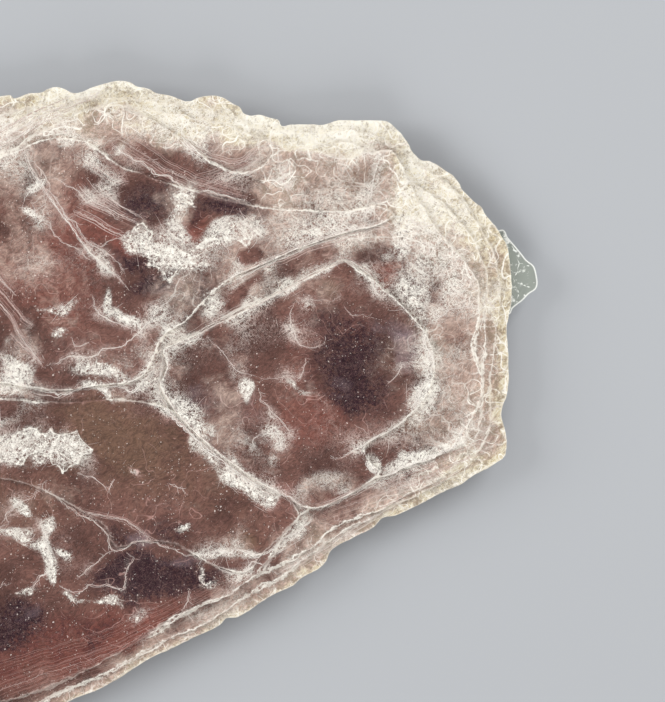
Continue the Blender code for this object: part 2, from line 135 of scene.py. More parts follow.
# Creases, cracks and ledge lines on the face, as (strength, width, half width of the ruled lines beside it,
# route), all lengths in millimetres. The last group is on the end of the plate that the view cuts off.
CREASES = [
    (0.8, 0.16, 0.9, [(-6.0, 17.0), (0.0, 13.9), (5.5, 10.8), (10.6, 8.7)]),
    (0.9, 0.16, 0.0, [(-3.0, 16.2), (0.0, 14.6), (4.0, 12.4), (7.5, 10.3), (11.0, 8.2)]),
    (0.8, 0.14, 0.0, [(-2.0, 13.6), (0.0, 12.5), (5.0, 11.0), (10.0, 9.5)]),
    (1.0, 0.2, 0.35, [(2.1, 14.4), (3.3, 17.1), (4.8, 19.4), (6.2, 21.4), (7.6, 23.3), (9.3, 25.4),
        (11.0, 27.0), (12.6, 28.5)]),
    (0.8, 0.14, 0.0, [(3.4, 15.9), (4.1, 17.3), (6.0, 20.6), (7.6, 22.6), (9.0, 24.2), (9.6, 24.5),
        (11.2, 25.7), (12.7, 27.6)]),
    (0.7, 0.12, 0.0, [(5.0, 17.7), (6.9, 18.9), (8.6, 19.9), (10.3, 21.1), (12.0, 22.1)]),
    (0.7, 0.12, 0.9, [(7.7, 18.5), (9.6, 20.2), (11.7, 21.3), (13.8, 22.3)]),
    (0.6, 0.12, 0.0, [(8.9, 18.0), (10.7, 19.2), (12.7, 20.8), (14.6, 22.0)]),
    (0.6, 0.16, 0.4, [(7.4, 20.9), (9.6, 22.1), (11.2, 23.0), (12.4, 23.7)]),
    (0.6, 0.12, 0.0, [(9.1, 24.0), (10.2, 24.5), (11.2, 24.1), (13.1, 24.1)]),
    (0.5, 0.12, 0.4, [(8.3, 15.8), (9.3, 16.4), (10.7, 17.5), (12.0, 18.1), (13.1, 18.2)]),
    (0.9, 0.22, 0.0, [(11.0, 14.4), (12.7, 15.4), (14.1, 16.3), (15.1, 17.1), (17.2, 18.2), (19.5, 18.9),
        (22.4, 19.6), (25.1, 20.3)]),
    (0.5, 0.12, 1.0, [(11.6, 13.6), (13.6, 14.9), (15.5, 16.2), (18.0, 17.6), (21.0, 18.7), (25.0, 19.7)]),
    (0.5, 0.12, 0.0, [(9.6, 13.2), (12.5, 15.0), (15.5, 16.4), (18.9, 18.2)]),
    (0.7, 0.16, 0.0, [(9.5, 29.4), (9.8, 30.9), (10.3, 31.8), (12.0, 32.3), (13.4, 32.8), (13.8, 33.2)]),
    (0.6, 0.12, 0.0, [(7.1, 33.7), (7.6, 34.4), (8.8, 34.1)]),
    (0.6, 0.12, 0.4, [(-3.0, 24.6), (0.0, 27.8), (1.7, 29.7)]),
    (0.6, 0.12, 0.4, [(-3.0, 26.0), (0.0, 29.0), (2.1, 31.6), (3.4, 32.8)]),
    (0.6, 0.12, 0.3, [(-2.4, 27.8), (0.0, 30.4), (1.0, 31.6), (2.2, 33.8), (4.3, 36.6)]),
    (0.8, 0.16, 0.0, [(2.5, 20.0), (3.1, 19.3), (3.8, 18.8)]),
    (0.6, 0.14, 0.0, [(3.1, 20.2), (3.3, 21.3), (4.5, 22.3), (5.7, 23.3), (6.9, 24.4), (8.3, 25.2),
        (9.6, 25.9)]),
    (0.7, 0.16, 0.4, [(18.0, 13.3), (19.0, 14.4), (20.2, 15.2), (21.8, 15.9), (23.2, 16.3), (24.4, 16.0),
        (25.4, 15.2), (26.6, 14.4), (27.3, 14.1)]),
    (0.6, 0.14, 0.0, [(27.3, 14.1), (28.0, 14.9), (27.9, 16.4), (28.3, 17.8), (28.7, 19.4), (30.0, 19.9)]),
    (0.6, 0.14, 0.0, [(28.8, 15.4), (29.7, 14.9), (31.1, 15.1), (32.5, 15.3), (34.5, 15.5), (36.1, 14.9),
        (37.5, 14.4), (41.2, 14.4)]),
    (0.5, 0.12, 0.0, [(28.8, 15.4), (28.6, 17.1), (28.8, 19.2)]),
    (0.8, 0.14, 0.0, [(37.8, 15.4), (37.3, 17.1), (36.8, 19.9), (36.1, 22.1)]),
    (0.9, 0.16, 0.5, [(22.0, 28.8), (24.5, 27.5), (26.3, 26.6), (28.3, 25.7), (30.9, 24.5), (33.5, 23.7),
        (36.2, 22.9), (38.0, 22.6), (39.3, 23.0)]),
    (1.0, 0.18, 0.4, [(16.0, 34.7), (18.0, 34.0), (20.1, 33.0), (22.3, 31.8), (24.5, 30.7), (26.6, 29.7),
        (28.7, 28.7), (30.4, 27.8), (32.6, 26.7), (34.4, 26.0), (35.7, 26.6), (37.1, 27.6), (37.3, 28.7),
        (37.8, 29.4), (38.5, 29.5), (39.1, 28.8)]),
    (0.6, 0.12, 0.0, [(33.0, 24.3), (35.7, 23.2), (37.1, 22.8), (38.8, 23.2), (39.6, 24.3)]),
    (0.6, 0.14, 0.0, [(0.3, 34.7), (0.5, 36.1), (1.0, 37.5), (1.4, 38.2)]),
    (0.6, 0.14, 0.3, [(1.0, 33.3), (2.6, 34.9), (4.3, 36.6)]),
    (0.9, 0.22, 0.0, [(-4.0, 37.9), (0.0, 38.6), (1.4, 38.9), (3.4, 39.0), (4.8, 38.8), (6.2, 39.1),
        (7.7, 39.0), (9.6, 38.7), (11.7, 38.6), (13.1, 39.1), (14.3, 38.2), (15.1, 37.1), (16.4, 36.3)]),
    (0.6, 0.14, 0.0, [(3.1, 39.4), (6.0, 39.5), (7.7, 39.0)]),
    (0.8, 0.18, 0.0, [(4.6, 36.8), (6.9, 35.9), (8.6, 35.6), (10.3, 35.1), (11.7, 34.7), (13.1, 33.9),
        (14.3, 32.9), (15.5, 31.4), (17.2, 30.1), (18.2, 29.4)]),
    (1.0, 0.4, 0.5, [(16.0, 34.9), (16.5, 36.1), (16.0, 38.2), (16.0, 39.4), (16.7, 40.7), (17.6, 41.9),
        (18.8, 43.0), (20.3, 44.4), (22.4, 46.1), (24.1, 47.3), (25.8, 48.3), (28.5, 49.5), (30.9, 50.9)]),
    (1.0, 0.26, 0.4, [(31.6, 51.0), (34.1, 50.1), (35.7, 49.1), (38.4, 47.7), (40.0, 47.2)]),
    (0.7, 0.14, 0.0, [(11.3, 47.9), (10.9, 48.5), (10.5, 49.2)]),
    (0.7, 0.14, 0.0, [(16.9, 48.1), (17.7, 48.8), (18.6, 49.7)]),
    (0.6, 0.14, 0.0, [(7.7, 47.3), (9.6, 48.1), (10.5, 49.0)]),
    (0.8, 0.2, 0.0, [(4.3, 48.1), (4.1, 49.0), (6.5, 50.4), (8.6, 51.8), (10.5, 53.0), (11.5, 54.9),
        (14.1, 54.3), (17.2, 54.5), (19.8, 55.9)]),
    (0.7, 0.18, 0.0, [(4.1, 49.0), (2.2, 49.9), (0.7, 51.4), (1.0, 52.5)]),
    (0.6, 0.14, 0.3, [(7.6, 50.9), (10.3, 51.6), (12.7, 52.1), (14.5, 53.5), (15.5, 54.2)]),
    (0.6, 0.14, 0.0, [(11.5, 54.9), (9.6, 56.2), (7.4, 57.8)]),
    (0.7, 0.18, 0.0, [(12.7, 55.0), (13.2, 56.1), (12.7, 57.1), (11.9, 58.8), (9.3, 58.7), (7.6, 59.0),
        (6.0, 58.5)]),
    (0.9, 0.22, 0.0, [(4.1, 51.9), (4.3, 53.7), (4.6, 55.0), (5.0, 56.8), (3.8, 57.8), (2.9, 58.8)]),
    (0.9, 0.26, 0.0, [(20.4, 55.8), (21.4, 55.0), (23.6, 55.2), (24.9, 55.4), (27.1, 54.9), (28.5, 53.9),
        (29.8, 53.1), (30.9, 52.2), (31.6, 51.1)]),
    (0.8, 0.2, 0.0, [(21.1, 56.5), (24.6, 57.4), (25.2, 56.2), (26.5, 56.8), (27.8, 57.3)]),
    (0.8, 0.16, 0.5, [(27.8, 57.4), (30.9, 55.8), (32.7, 54.9), (34.9, 53.3), (37.6, 51.7), (40.0, 50.5)]),
    (0.6, 0.14, 0.0, [(27.8, 57.4), (27.6, 58.0), (27.4, 58.5)]),
    (0.2, 0.12, 2.4, [(-4.0, 71.4), (0.0, 69.0), (6.0, 67.0), (11.6, 65.0), (15.0, 63.3), (21.0, 60.3),
        (27.1, 57.7)]),
    (0.6, 0.14, 0.0, [(18.2, 60.9), (18.6, 61.6), (19.0, 62.2)]),
    (0.6, 0.14, 0.0, [(18.8, 59.0), (18.5, 60.0), (18.3, 61.1)]),
    (0.6, 0.14, 0.0, [(20.9, 33.7), (22.1, 35.1), (23.7, 36.6), (24.4, 37.5)]),
    (0.6, 0.14, 0.0, [(25.7, 39.2), (27.3, 41.3), (28.7, 42.7), (29.7, 43.9)]),
    (0.5, 0.12, 0.0, [(25.6, 38.0), (27.6, 38.0), (29.0, 37.7), (29.7, 38.2)]),
    (0.6, 0.14, 0.0, [(29.9, 29.8), (29.2, 31.3), (29.3, 32.9), (30.0, 34.2), (30.6, 34.6), (32.8, 34.4)]),
    (0.7, 0.16, 0.0, [(30.4, 35.6), (30.0, 37.2), (29.5, 38.0)]),
    (0.5, 0.12, 0.0, [(30.0, 29.6), (31.4, 30.1), (33.5, 30.1), (34.2, 29.6)]),
    (0.5, 0.12, 0.0, [(34.0, 30.6), (35.2, 31.6), (37.3, 31.6)]),
    (0.6, 0.14, 0.0, [(39.9, 35.9), (39.7, 37.3), (38.8, 38.2)]),
    (0.9, 0.34, 0.0, [(42.1, 33.0), (42.6, 34.4), (43.1, 36.6), (42.6, 38.2), (41.8, 39.7), (41.4, 41.3)]),
    (0.8, 0.18, 0.0, [(40.9, 41.5), (39.5, 42.5), (37.8, 43.7), (36.6, 44.4), (35.0, 45.4), (34.0, 46.1),
        (33.1, 45.9)]),
    (0.6, 0.14, 0.0, [(40.9, 41.5), (42.8, 41.6), (44.4, 41.1)]),
    (0.9, 0.24, 0.0, [(36.6, 45.2), (37.3, 46.6), (38.3, 47.1)]),
    (0.8, 0.18, 0.0, [(25.4, 45.2), (25.7, 44.0), (27.3, 43.2), (28.2, 44.0), (27.6, 45.2)]),
    (0.5, 0.12, 0.0, [(35.6, 42.3), (36.2, 43.0), (36.9, 43.7)]),
    (0.9, 0.26, 0.0, [(38.3, 47.3), (41.2, 46.6), (43.0, 45.6), (44.9, 44.7), (46.4, 43.4), (46.4, 42.0)]),
    (0.7, 0.16, 0.0, [(46.7, 42.6), (47.8, 41.7), (49.9, 40.6)]),
    (0.6, 0.14, 0.0, [(47.5, 43.1), (48.7, 42.7), (49.9, 42.7)]),
    (0.4, 0.14, 1.3, [(31.3, 51.8), (36.0, 50.2), (41.0, 48.4), (46.0, 46.2), (50.0, 44.2)]),
    (0.6, 0.14, 0.0, [(43.3, 32.5), (44.6, 31.5), (45.7, 30.9), (48.1, 30.8)]),
    (0.7, 0.14, 0.0, [(46.2, 27.8), (48.2, 30.0), (49.5, 31.0), (50.6, 31.6)]),
    (0.6, 0.14, 0.0, [(48.1, 30.6), (49.4, 29.5), (50.6, 28.4)]),
    (0.8, 0.16, 0.0, [(39.7, 22.8), (40.7, 22.2), (41.5, 22.3), (42.1, 22.8), (43.4, 21.8), (44.5, 21.0)]),
    (0.6, 0.14, 0.0, [(42.8, 24.0), (43.4, 25.9)]),
    (0.5, 0.14, 0.0, [(42.5, 16.0), (42.7, 17.2), (43.1, 18.4)]),
    (0.5, 0.14, 0.0, [(45.3, 21.7), (45.5, 22.7), (45.6, 23.7)]),
    (0.6, 0.14, 0.0, [(44.7, 26.3), (46.0, 25.9), (46.9, 26.5)]),
    (0.5, 0.1, 1.1, [(19.4, 18.8), (22.0, 17.8), (24.5, 16.8), (26.6, 15.6)]),
    (0.6, 0.12, 0.0, [(23.9, 21.7), (24.4, 22.3), (25.2, 23.2), (25.5, 24.2), (25.1, 25.1)]),
    (0.6, 0.12, 0.0, [(21.9, 24.1), (23.2, 25.5)]),
    (0.6, 0.12, 0.0, [(23.9, 25.6), (24.4, 27.0)]),
    (0.5, 0.12, 0.0, [(20.3, 14.6), (20.6, 13.6), (21.4, 13.5), (21.8, 14.3), (21.2, 14.9)]),
    (0.8, 0.2, 0.4, [(-24.0, 30.0), (-19.0, 33.5), (-14.0, 35.5), (-8.0, 36.8), (-4.0, 37.9)]),
    (0.7, 0.16, 0.3, [(-18.0, 22.0), (-14.0, 27.0), (-9.0, 32.0), (-5.0, 35.5)]),
    (0.7, 0.14, 0.5, [(-12.0, 17.5), (-8.0, 22.0), (-4.5, 27.0), (-1.5, 31.5)]),
    (0.8, 0.18, 0.0, [(-26.0, 44.0), (-20.0, 46.5), (-13.0, 46.0), (-6.0, 44.5), (-1.0, 45.5)]),
    (0.7, 0.16, 0.3, [(-22.0, 56.0), (-15.0, 54.0), (-8.0, 55.5), (-2.0, 53.5), (1.0, 52.5)]),
    (0.7, 0.16, 0.0, [(-16.0, 66.0), (-10.0, 63.5), (-4.0, 61.0), (1.0, 58.0)]),
    (0.6, 0.14, 0.0, [(-20.0, 37.0), (-18.0, 41.0), (-14.0, 44.0)]),
    (0.6, 0.14, 0.0, [(-10.0, 49.0), (-7.0, 52.0), (-6.0, 56.0), (-8.0, 60.0)]),
    (0.3, 0.12, 1.6, [(-27.0, 46.0), (-24.5, 55.0), (-19.5, 62.5), (-12.0, 69.0)]),
]

# Soft patches of colour in the leaves, as (x, y, half length, half width, turn in degrees, strength)
DARK_PATCHES = [
    (35.5, 32.4, 4.2, 2.6, 8, 0.42), (34.6, 36.6, 2.8, 3.2, 0, 0.55), (32.8, 37.4, 2.0, 2.8, 0, 0.3),
    (16.8, 52.6, 2.4, 1.3, 10, 0.5), (37.2, 35.6, 2.4, 3.2, 0, 0.35), (36.4, 39.4, 3.0, 2.0, 20, 0.45),
    (15.6, 19.2, 2.2, 1.2, 10, 0.55), (14.7, 20.5, 1.8, 1.0, 20, 0.6), (22.4, 20.6, 3.0, 1.3, 10, 0.8),
    (13.2, 26.0, 1.8, 1.2, 20, 0.9), (15.0, 28.8, 2.6, 1.2, -20, 0.85), (19.0, 29.6, 2.6, 1.6, -25, 0.8),
    (15.9, 57.2, 4.4, 2.3, 8, 1.05), (11.7, 53.0, 1.8, 1.3, 20, 0.55), (11.5, 56.3, 1.5, 1.0, 0, 0.7),
    (1.4, 61.6, 2.6, 2.4, 0, 0.9), (21.6, 58.0, 2.2, 0.9, -20, 0.6), (20.4, 39.0, 2.2, 3.0, 0, 0.3),
    (5.6, 34.4, 2.6, 1.4, 20, 0.2), (23.2, 40.4, 2.4, 1.8, 0, 0.25), (-12.0, 26.0, 5.0, 3.0, 30, 0.6),
    (-20.0, 48.5, 4.0, 4.4, 0, 0.7), (-8.0, 58.0, 5.0, 2.8, -15, 0.9), (4.0, 64.4, 7.0, 3.0, -20, 0.4),
    (18.6, 33.0, 2.0, 1.0, -30, 0.3), (12.0, 56.6, 3.0, 1.6, 0, 0.4), (-15.0, 37.0, 3.4, 2.2, 0, 0.4),
]
ROSY_PATCHES = [
    (4.5, 28.0, 6.5, 5.0, 20, 0.7), (7.2, 21.6, 4.6, 3.6, 45, 0.6), (31.5, 41.5, 3.0, 3.0, 0, 0.7),
    (36.5, 32.5, 2.0, 2.0, 0, 0.6), (19.6, 22.6, 1.8, 1.4, 0, 0.8), (38.7, 20.4, 1.7, 2.0, 0, 0.9),
    (7.5, 64.5, 9.0, 3.6, -22, 0.95), (20.0, 60.0, 6.0, 2.0, -30, 0.5), (39.5, 27.5, 1.6, 1.4, 0, 0.8),
    (12.0, 23.4, 2.4, 1.0, 25, 0.8), (30.0, 34.0, 2.4, 4.4, 0, 0.35), (33.0, 19.2, 3.6, 2.0, 0, 0.45),
    (-14.0, 42.0, 8.0, 4.6, 0, 0.6), (-7.0, 66.0, 7.0, 4.0, -10, 0.7), (-9.0, 29.0, 5.0, 4.0, 0, 0.4),
    (-18.0, 57.0, 4.0, 5.0, 0, 0.4),
]
TAN_PATCHES = [
    (34.0, 17.0, 9.0, 4.0, 5, 0.9), (12.0, 44.5, 12.0, 4.0, 5, 0.55), (3.0, 52.0, 4.0, 4.0, 0, 0.4),
    (41.4, 43.1, 2.3, 1.3, 0, 1.0), (40.7, 18.0, 1.1, 0.9, 0, 0.8), (32.9, 29.1, 1.6, 1.0, 0, 0.8),
    (11.4, 13.4, 0.5, 0.5, 0, 1.2), (46.6, 35.4, 3.6, 6.0, 0, 0.5), (24.9, 53.7, 1.3, 0.8, 0, 0.9),
    (28.5, 13.9, 1.1, 0.6, 0, 0.6), (37.4, 13.6, 1.2, 0.6, 0, 0.8), (12.5, 44.0, 5.4, 4.0, 10, 0.45),
    (23.0, 51.0, 5.0, 2.6, 35, 0.35), (44.0, 18.4, 1.4, 1.0, 40, 0.5), (15.5, 13.0, 3.0, 1.4, 30, 0.4),
    (47.0, 45.4, 3.0, 1.4, -28, 0.5), (-22.0, 33.0, 4.0, 3.0, 0, 0.5), (-2.0, 50.0, 4.0, 3.0, 0, 0.4),
]
# The lilac patches are painted sheen: a grey-lilac tone that stands in for the soft sheen on smooth cleavage
# there.
LILAC_SHEEN_PATCHES = [
    (41.0, 35.6, 1.5, 3.0, -14, 0.8), (39.4, 32.8, 2.0, 1.0, 40, 0.6), (18.4, 55.6, 2.6, 0.9, 8, 0.5),
    (13.2, 53.2, 1.6, 0.8, 20, 0.6), (20.0, 39.6, 1.6, 2.4, 0, 0.5), (25.6, 41.4, 2.6, 2.6, 0, 0.35),
    (33.4, 37.8, 1.8, 1.0, 0, 0.5), (16.6, 29.2, 1.6, 0.8, -20, 0.6), (2.6, 61.0, 1.4, 1.6, 0, 0.5),
    (-9.0, 57.4, 2.4, 1.2, -15, 0.8), (-20.4, 47.0, 1.8, 2.0, 0, 0.6),
]
PALE_PATCHES = [
    (6.0, 10.5, 8.0, 2.2, -25, 0.9), (20.0, 12.0, 9.0, 2.2, 10, 1.0), (34.0, 13.2, 7.0, 1.8, 0, 1.0),
    (44.6, 19.4, 2.6, 4.6, -42, 0.45), (10.5, 20.6, 4.6, 2.0, 38, -0.2), (19.0, 18.6, 6.0, 0.9, 14, -0.2),
    (40.8, 20.4, 2.6, 3.6, 0, 0.75), (46.2, 24.6, 3.6, 6.4, -25, 0.6), (48.6, 33.0, 2.6, 8.0, 0, 0.25),
    (46.0, 37.0, 3.0, 5.0, 0, 0.12), (45.4, 47.2, 5.4, 2.0, -28, 0.55), (30.2, 56.6, 3.6, 1.8, -33, 0.35),
    (35.6, 24.9, 2.6, 1.2, -20, 0.4), (39.6, 35.0, 1.9, 3.4, 12, 0.42), (23.0, 25.4, 6.0, 3.0, -20, 0.3),
    (42.6, 28.6, 2.0, 3.2, 0, 0.12), (41.6, 15.4, 2.2, 2.0, 0, 0.6), (7.4, 13.4, 3.0, 1.0, -10, 0.3),
    (22.0, 36.0, 5.0, 1.4, -30, 0.15), (-16.0, 19.6, 6.0, 2.4, -35, 0.5),
    (-26.0, 36.0, 2.4, 9.0, 0, 0.45), (34.0, 18.2, 8.0, 4.2, 0, 0.48), (29.5, 24.8, 8.0, 2.2, -24, 0.18),
    (4.0, 14.4, 9.0, 2.6, -15, 0.12), (20.0, 15.2, 8.0, 2.2, 12, 0.14), (44.2, 42.6, 4.6, 4.0, -28, 0.47),
    (39.4, 25.8, 3.6, 4.0, 0, 0.2), (22.0, 32.0, 8.0, 2.2, -27, 0.2), (17.4, 36.8, 1.6, 4.0, 0, 0.25),
    (4.5, 27.0, 5.0, 4.0, 20, 0.22), (13.0, 44.4, 5.6, 3.0, 8, -0.8), (8.0, 63.5, 8.0, 2.8, -22, -0.8),
    (15.6, 57.0, 3.0, 1.6, 0, -0.5), (1.0, 40.0, 1.3, 0.8, 0, -0.6), (25.0, 25.8, 1.2, 0.7, 0, -0.8),
    (12.8, 26.0, 1.6, 1.1, 20, -0.8), (21.0, 21.8, 1.2, 0.8, 0, -0.6), (25.0, 29.2, 2.6, 0.7, -25, -0.5),
    (2.4, 18.6, 4.2, 3.4, 25, 0.36), (8.6, 18.0, 3.8, 2.6, 30, 0.34), (14.0, 21.6, 2.4, 1.2, 30, 0.2),
    (17.6, 29.8, 2.6, 2.2, 0, 0.45), (43.4, 34.6, 1.9, 3.4, 0, 0.48), (22.4, 44.4, 2.4, 2.6, 30, 0.38),
    (22.5, 39.6, 2.6, 2.6, 0, 0.26), (27.0, 44.5, 2.4, 2.2, 0, 0.22), (1.8, 39.6, 2.8, 2.2, 0, 0.42),
    (12.6, 41.0, 2.4, 1.2, 0, 0.22), (17.4, 19.6, 2.2, 1.8, 0, 0.4), (27.4, 19.4, 2.6, 2.0, 0, 0.36),
    (27.4, 49.6, 2.4, 1.6, 30, -0.4), (6.0, 49.0, 2.6, 1.4, 0, 0.2), (22.6, 60.4, 5.0, 1.5, -32, 0.28),
    (2.6, 34.0, 2.6, 2.2, 0, 0.3), (12.4, 38.6, 2.4, 1.6, 0, 0.24), (27.4, 28.6, 2.6, 1.6, -25, 0.3),
    (32.8, 29.6, 2.2, 1.8, 0, 0.22), (14.0, 64.6, 5.0, 1.3, -26, 0.3), (30.0, 53.6, 3.0, 1.6, -30, 0.35),
    (37.6, 50.4, 3.4, 1.4, -30, 0.35), (2.5, 24.6, 3.0, 2.4, 0, 0.2), (32.6, 48.8, 2.4, 1.7, -30, 0.44),
    (22.6, 54.2, 2.4, 1.8, 0, 0.32), (12.6, 60.3, 2.6, 1.7, 0, 0.45), (8.2, 45.6, 1.7, 1.7, 0, 0.45),
]
TORN_PATCHES = [
    (17.9, 19.9, 1.3, 0.7, 20, 0.6), (17.1, 21.9, 0.6, 1.5, 0, 0.8), (14.0, 23.6, 1.7, 1.2, 30, 0.8),
    (16.4, 25.4, 2.2, 1.5, 0, 0.65), (18.6, 26.6, 2.0, 1.2, -20, 0.6), (22.2, 23.8, 2.2, 1.2, -25, 0.5),
    (24.8, 22.4, 1.5, 1.0, -40, 0.5), (18.0, 22.6, 1.6, 0.9, 40, 0.6), (21.6, 30.2, 2.0, 0.8, -30, 0.6),
    (4.4, 30.2, 1.5, 0.45, -8, 1.3), (2.6, 44.6, 2.8, 1.2, -12, 0.6), (6.6, 44.9, 2.0, 1.3, 10, 0.6),
    (-0.4, 42.0, 0.7, 1.6, 30, 0.7), (2.0, 37.7, 1.3, 0.9, -20, 1.0), (10.3, 37.9, 2.2, 0.6, 0, 1.0),
    (10.6, 40.0, 1.2, 0.45, 15, 0.8), (32.0, 23.0, 3.4, 0.9, -20, 0.7), (40.2, 22.6, 0.8, 3.8, 0, 0.7),
    (41.9, 29.6, 1.0, 2.3, 0, 0.6), (20.0, 41.9, 2.2, 1.1, 40, 0.95), (23.1, 47.6, 2.0, 1.1, 35, 1.0),
    (25.6, 48.8, 1.8, 0.8, 25, 0.95), (20.0, 45.0, 0.9, 0.9, 0, 0.5), (24.8, 38.7, 0.6, 1.2, -15, 1.3),
    (26.7, 44.3, 1.3, 0.9, 0, 0.8), (42.5, 34.2, 0.7, 1.5, -15, 1.1), (43.0, 36.8, 0.7, 1.4, 5, 1.1),
    (42.2, 39.5, 0.7, 1.4, 25, 1.1), (41.4, 41.0, 0.6, 0.8, 0, 1.0), (39.8, 46.9, 1.6, 0.5, -15, 0.9),
    (42.2, 46.0, 1.5, 0.5, -25, 0.9), (44.6, 44.9, 1.3, 0.5, -30, 0.9), (46.3, 43.4, 0.7, 0.8, 0, 0.9),
    (9.8, 30.6, 0.4, 1.2, 0, 0.9), (11.6, 32.2, 1.2, 0.5, 15, 0.9), (13.4, 33.0, 0.8, 0.4, 30, 0.9),
    (4.3, 53.0, 0.45, 1.4, 0, 1.1), (4.7, 56.0, 0.45, 1.4, -10, 1.1), (6.0, 55.4, 0.5, 0.4, 0, 0.9),
    (21.8, 58.7, 0.9, 0.5, 0, 0.9), (14.3, 47.3, 0.35, 0.7, -30, 1.2), (18.0, 52.4, 0.9, 0.35, 10, 1.1),
    (29.6, 38.4, 0.8, 0.4, 0, 0.7), (37.0, 46.2, 0.5, 1.2, -20, 1.0), (11.0, 14.8, 0.5, 0.8, 20, 1.0),
    (3.1, 19.4, 0.9, 0.35, -45, 1.1), (2.8, 21.4, 0.6, 0.3, 30, 0.9), (6.4, 13.8, 2.2, 0.6, -10, 0.5),
    (23.0, 55.2, 2.0, 0.5, 5, 0.8), (28.6, 53.8, 1.8, 0.5, -35, 0.8), (44.8, 27.4, 0.9, 1.4, 10, 0.5),
    (-9.0, 40.4, 3.0, 1.2, 10, 1.0), (-15.0, 30.0, 2.2, 1.6, 40, 0.9), (-20.0, 52.0, 2.6, 1.0, 30, 0.9),
    (-5.0, 62.0, 1.8, 1.0, -30, 0.9), (-22.0, 41.0, 1.0, 2.0, 0, 0.9), (15.6, 28.0, 1.4, 2.4, 0, 0.2),
    (17.4, 31.4, 1.6, 1.6, 0, 0.2), (16.6, 34.2, 1.0, 1.0, 0, 0.4), (28.4, 21.8, 2.6, 1.6, -20, 0.35),
    (2.2, 51.0, 0.4, 1.3, -40, 0.8), (1.8, 54.2, 2.0, 0.4, 25, 0.9), (1.6, 58.5, 2.0, 0.5, -25, 0.8),
    (7.0, 58.9, 1.8, 0.45, 8, 0.8), (11.0, 59.2, 1.6, 0.45, 5, 0.8), (12.8, 57.0, 0.4, 1.6, 0, 0.6),
    (13.6, 61.0, 2.0, 0.9, 0, 0.4), (20.4, 57.6, 0.5, 1.4, 0, 0.5), (22.8, 55.2, 2.4, 0.5, -5, 0.7),
    (12.4, 35.6, 2.4, 0.8, -20, 0.3), (6.0, 33.0, 1.2, 0.6, 30, 0.6), (1.2, 35.6, 0.6, 1.6, -30, 0.5),
]

# How far apart points lie along outlines, along creases, on open faces and on covered ones, in millimetres
CURVE_STEP = 0.22
ROUTE_STEP = 0.05
FINE_STEP = 0.25
COARSE_STEP = 1.7
# The grid that says which leaf covers which: the size of its cells, its corner, and margins counted in cells
CELL = 0.1
VIEW_LEFT, VIEW_TOP = -31.0, 7.0
COLUMNS, ROWS = 862, 685
FINE_MARGIN, COARSE_MARGIN, OVERLAP = 2, 6, 3
# Heights in millimetres: how far each leaf sinks into the one below, the highest point, the low cleavage
# steps, and the folds along creases
LEAF_SINK = 0.05
HIGHEST = 5.38
TERRACE_STEP = 0.02
FOLD_HEIGHT, FOLD_HALF_WIDTH = 0.05, 0.2
# Two nets of crumples, each as the size of its meshes, its seed, and its ridges' half width and height
CRUMPLE_NETS = ((1.9, 44, 0.32, 0.12), (0.95, 45, 0.22, 0.06))
# How far from an edge a point's distance is told, the cells across a soft noise before it repeats, and how
# far the ruled lines' noise moves on from crease to crease, so that no two of them are alike
EDGE_REACH = 4.0
LATTICE = 64
RULED_SHIFT = 17.0


def smooth_curve(points, step, closed=True):
    """Points along a Catmull-Rom curve through the given ones, evenly spaced, about step apart."""
    count = len(points)
    along = []
    for i in range(count if closed else count - 1):
        if closed:
            corners = [points[(i + k) % count] for k in (-1, 0, 1, 2)]
        else:
            corners = [points[min(max(i + k, 0), count - 1)] for k in (-1, 0, 1, 2)]
        p0, p1, p2, p3 = np.array(corners)
        t = np.arange(0.0, 1.0, 0.125)[:, None]
        along.append(0.5 * (2 * p1 + (p2 - p0) * t + (2 * p0 - 5 * p1 + 4 * p2 - p3) * t ** 2
                            + (3 * p1 - p0 - 3 * p2 + p3) * t ** 3))
    along = np.concatenate(along + [np.array([points[0] if closed else points[-1]])])
    travelled = np.concatenate([[0.0], np.cumsum(np.hypot(*np.diff(along, axis=0).T))])
    wanted = np.linspace(0.0, travelled[-1], max(2, round(travelled[-1] / step)) + 1)
    if closed:
        wanted = wanted[:-1]
    return np.stack([np.interp(wanted, travelled, along[:, axis]) for axis in (0, 1)], 1)


def tangents(line, closed):
    """The direction of a line at each of its points."""
    ahead = np.roll(line, -1, 0) - np.roll(line, 1, 0)
    if not closed:
        ahead[0] = line[1] - line[0]
        ahead[-1] = line[-1] - line[-2]
    return ahead / np.hypot(*ahead.T)[:, None]


def torn(outline, depth, seed):
    """The outline drawn in by up to depth, in straight little breaks of about 3, 1 and 0.5 mm."""
    draw = np.random.default_rng(seed)
    travelled = np.cumsum(np.hypot(*(np.roll(outline, -1, 0) - outline).T))
    bite = np.zeros(len(outline))
    for break_length, part in ((3.2, 0.45), (1.1, 0.33), (0.5, 0.22)):
        knots = np.sort(draw.uniform(0.0, travelled[-1], int(travelled[-1] / break_length)))
        bite += part * np.interp(travelled, knots, draw.uniform(0.0, 1.0, len(knots)), period=travelled[-1])
    heading = tangents(outline, True)
    x, y = outline.T
    turned = math.copysign(1.0, np.sum(x * np.roll(y, -1) - np.roll(x, -1) * y))
    inwards = turned * np.stack([-heading[:, 1], heading[:, 0]], 1)
    return outline + inwards * (depth * bite)[:, None]


def frayed(outline):
    """The outline grown a little, so that deep breaks drawn into it leave it ragged and not smaller."""
    return torn(smooth_curve(outline, CURVE_STEP), -0.45, 7)


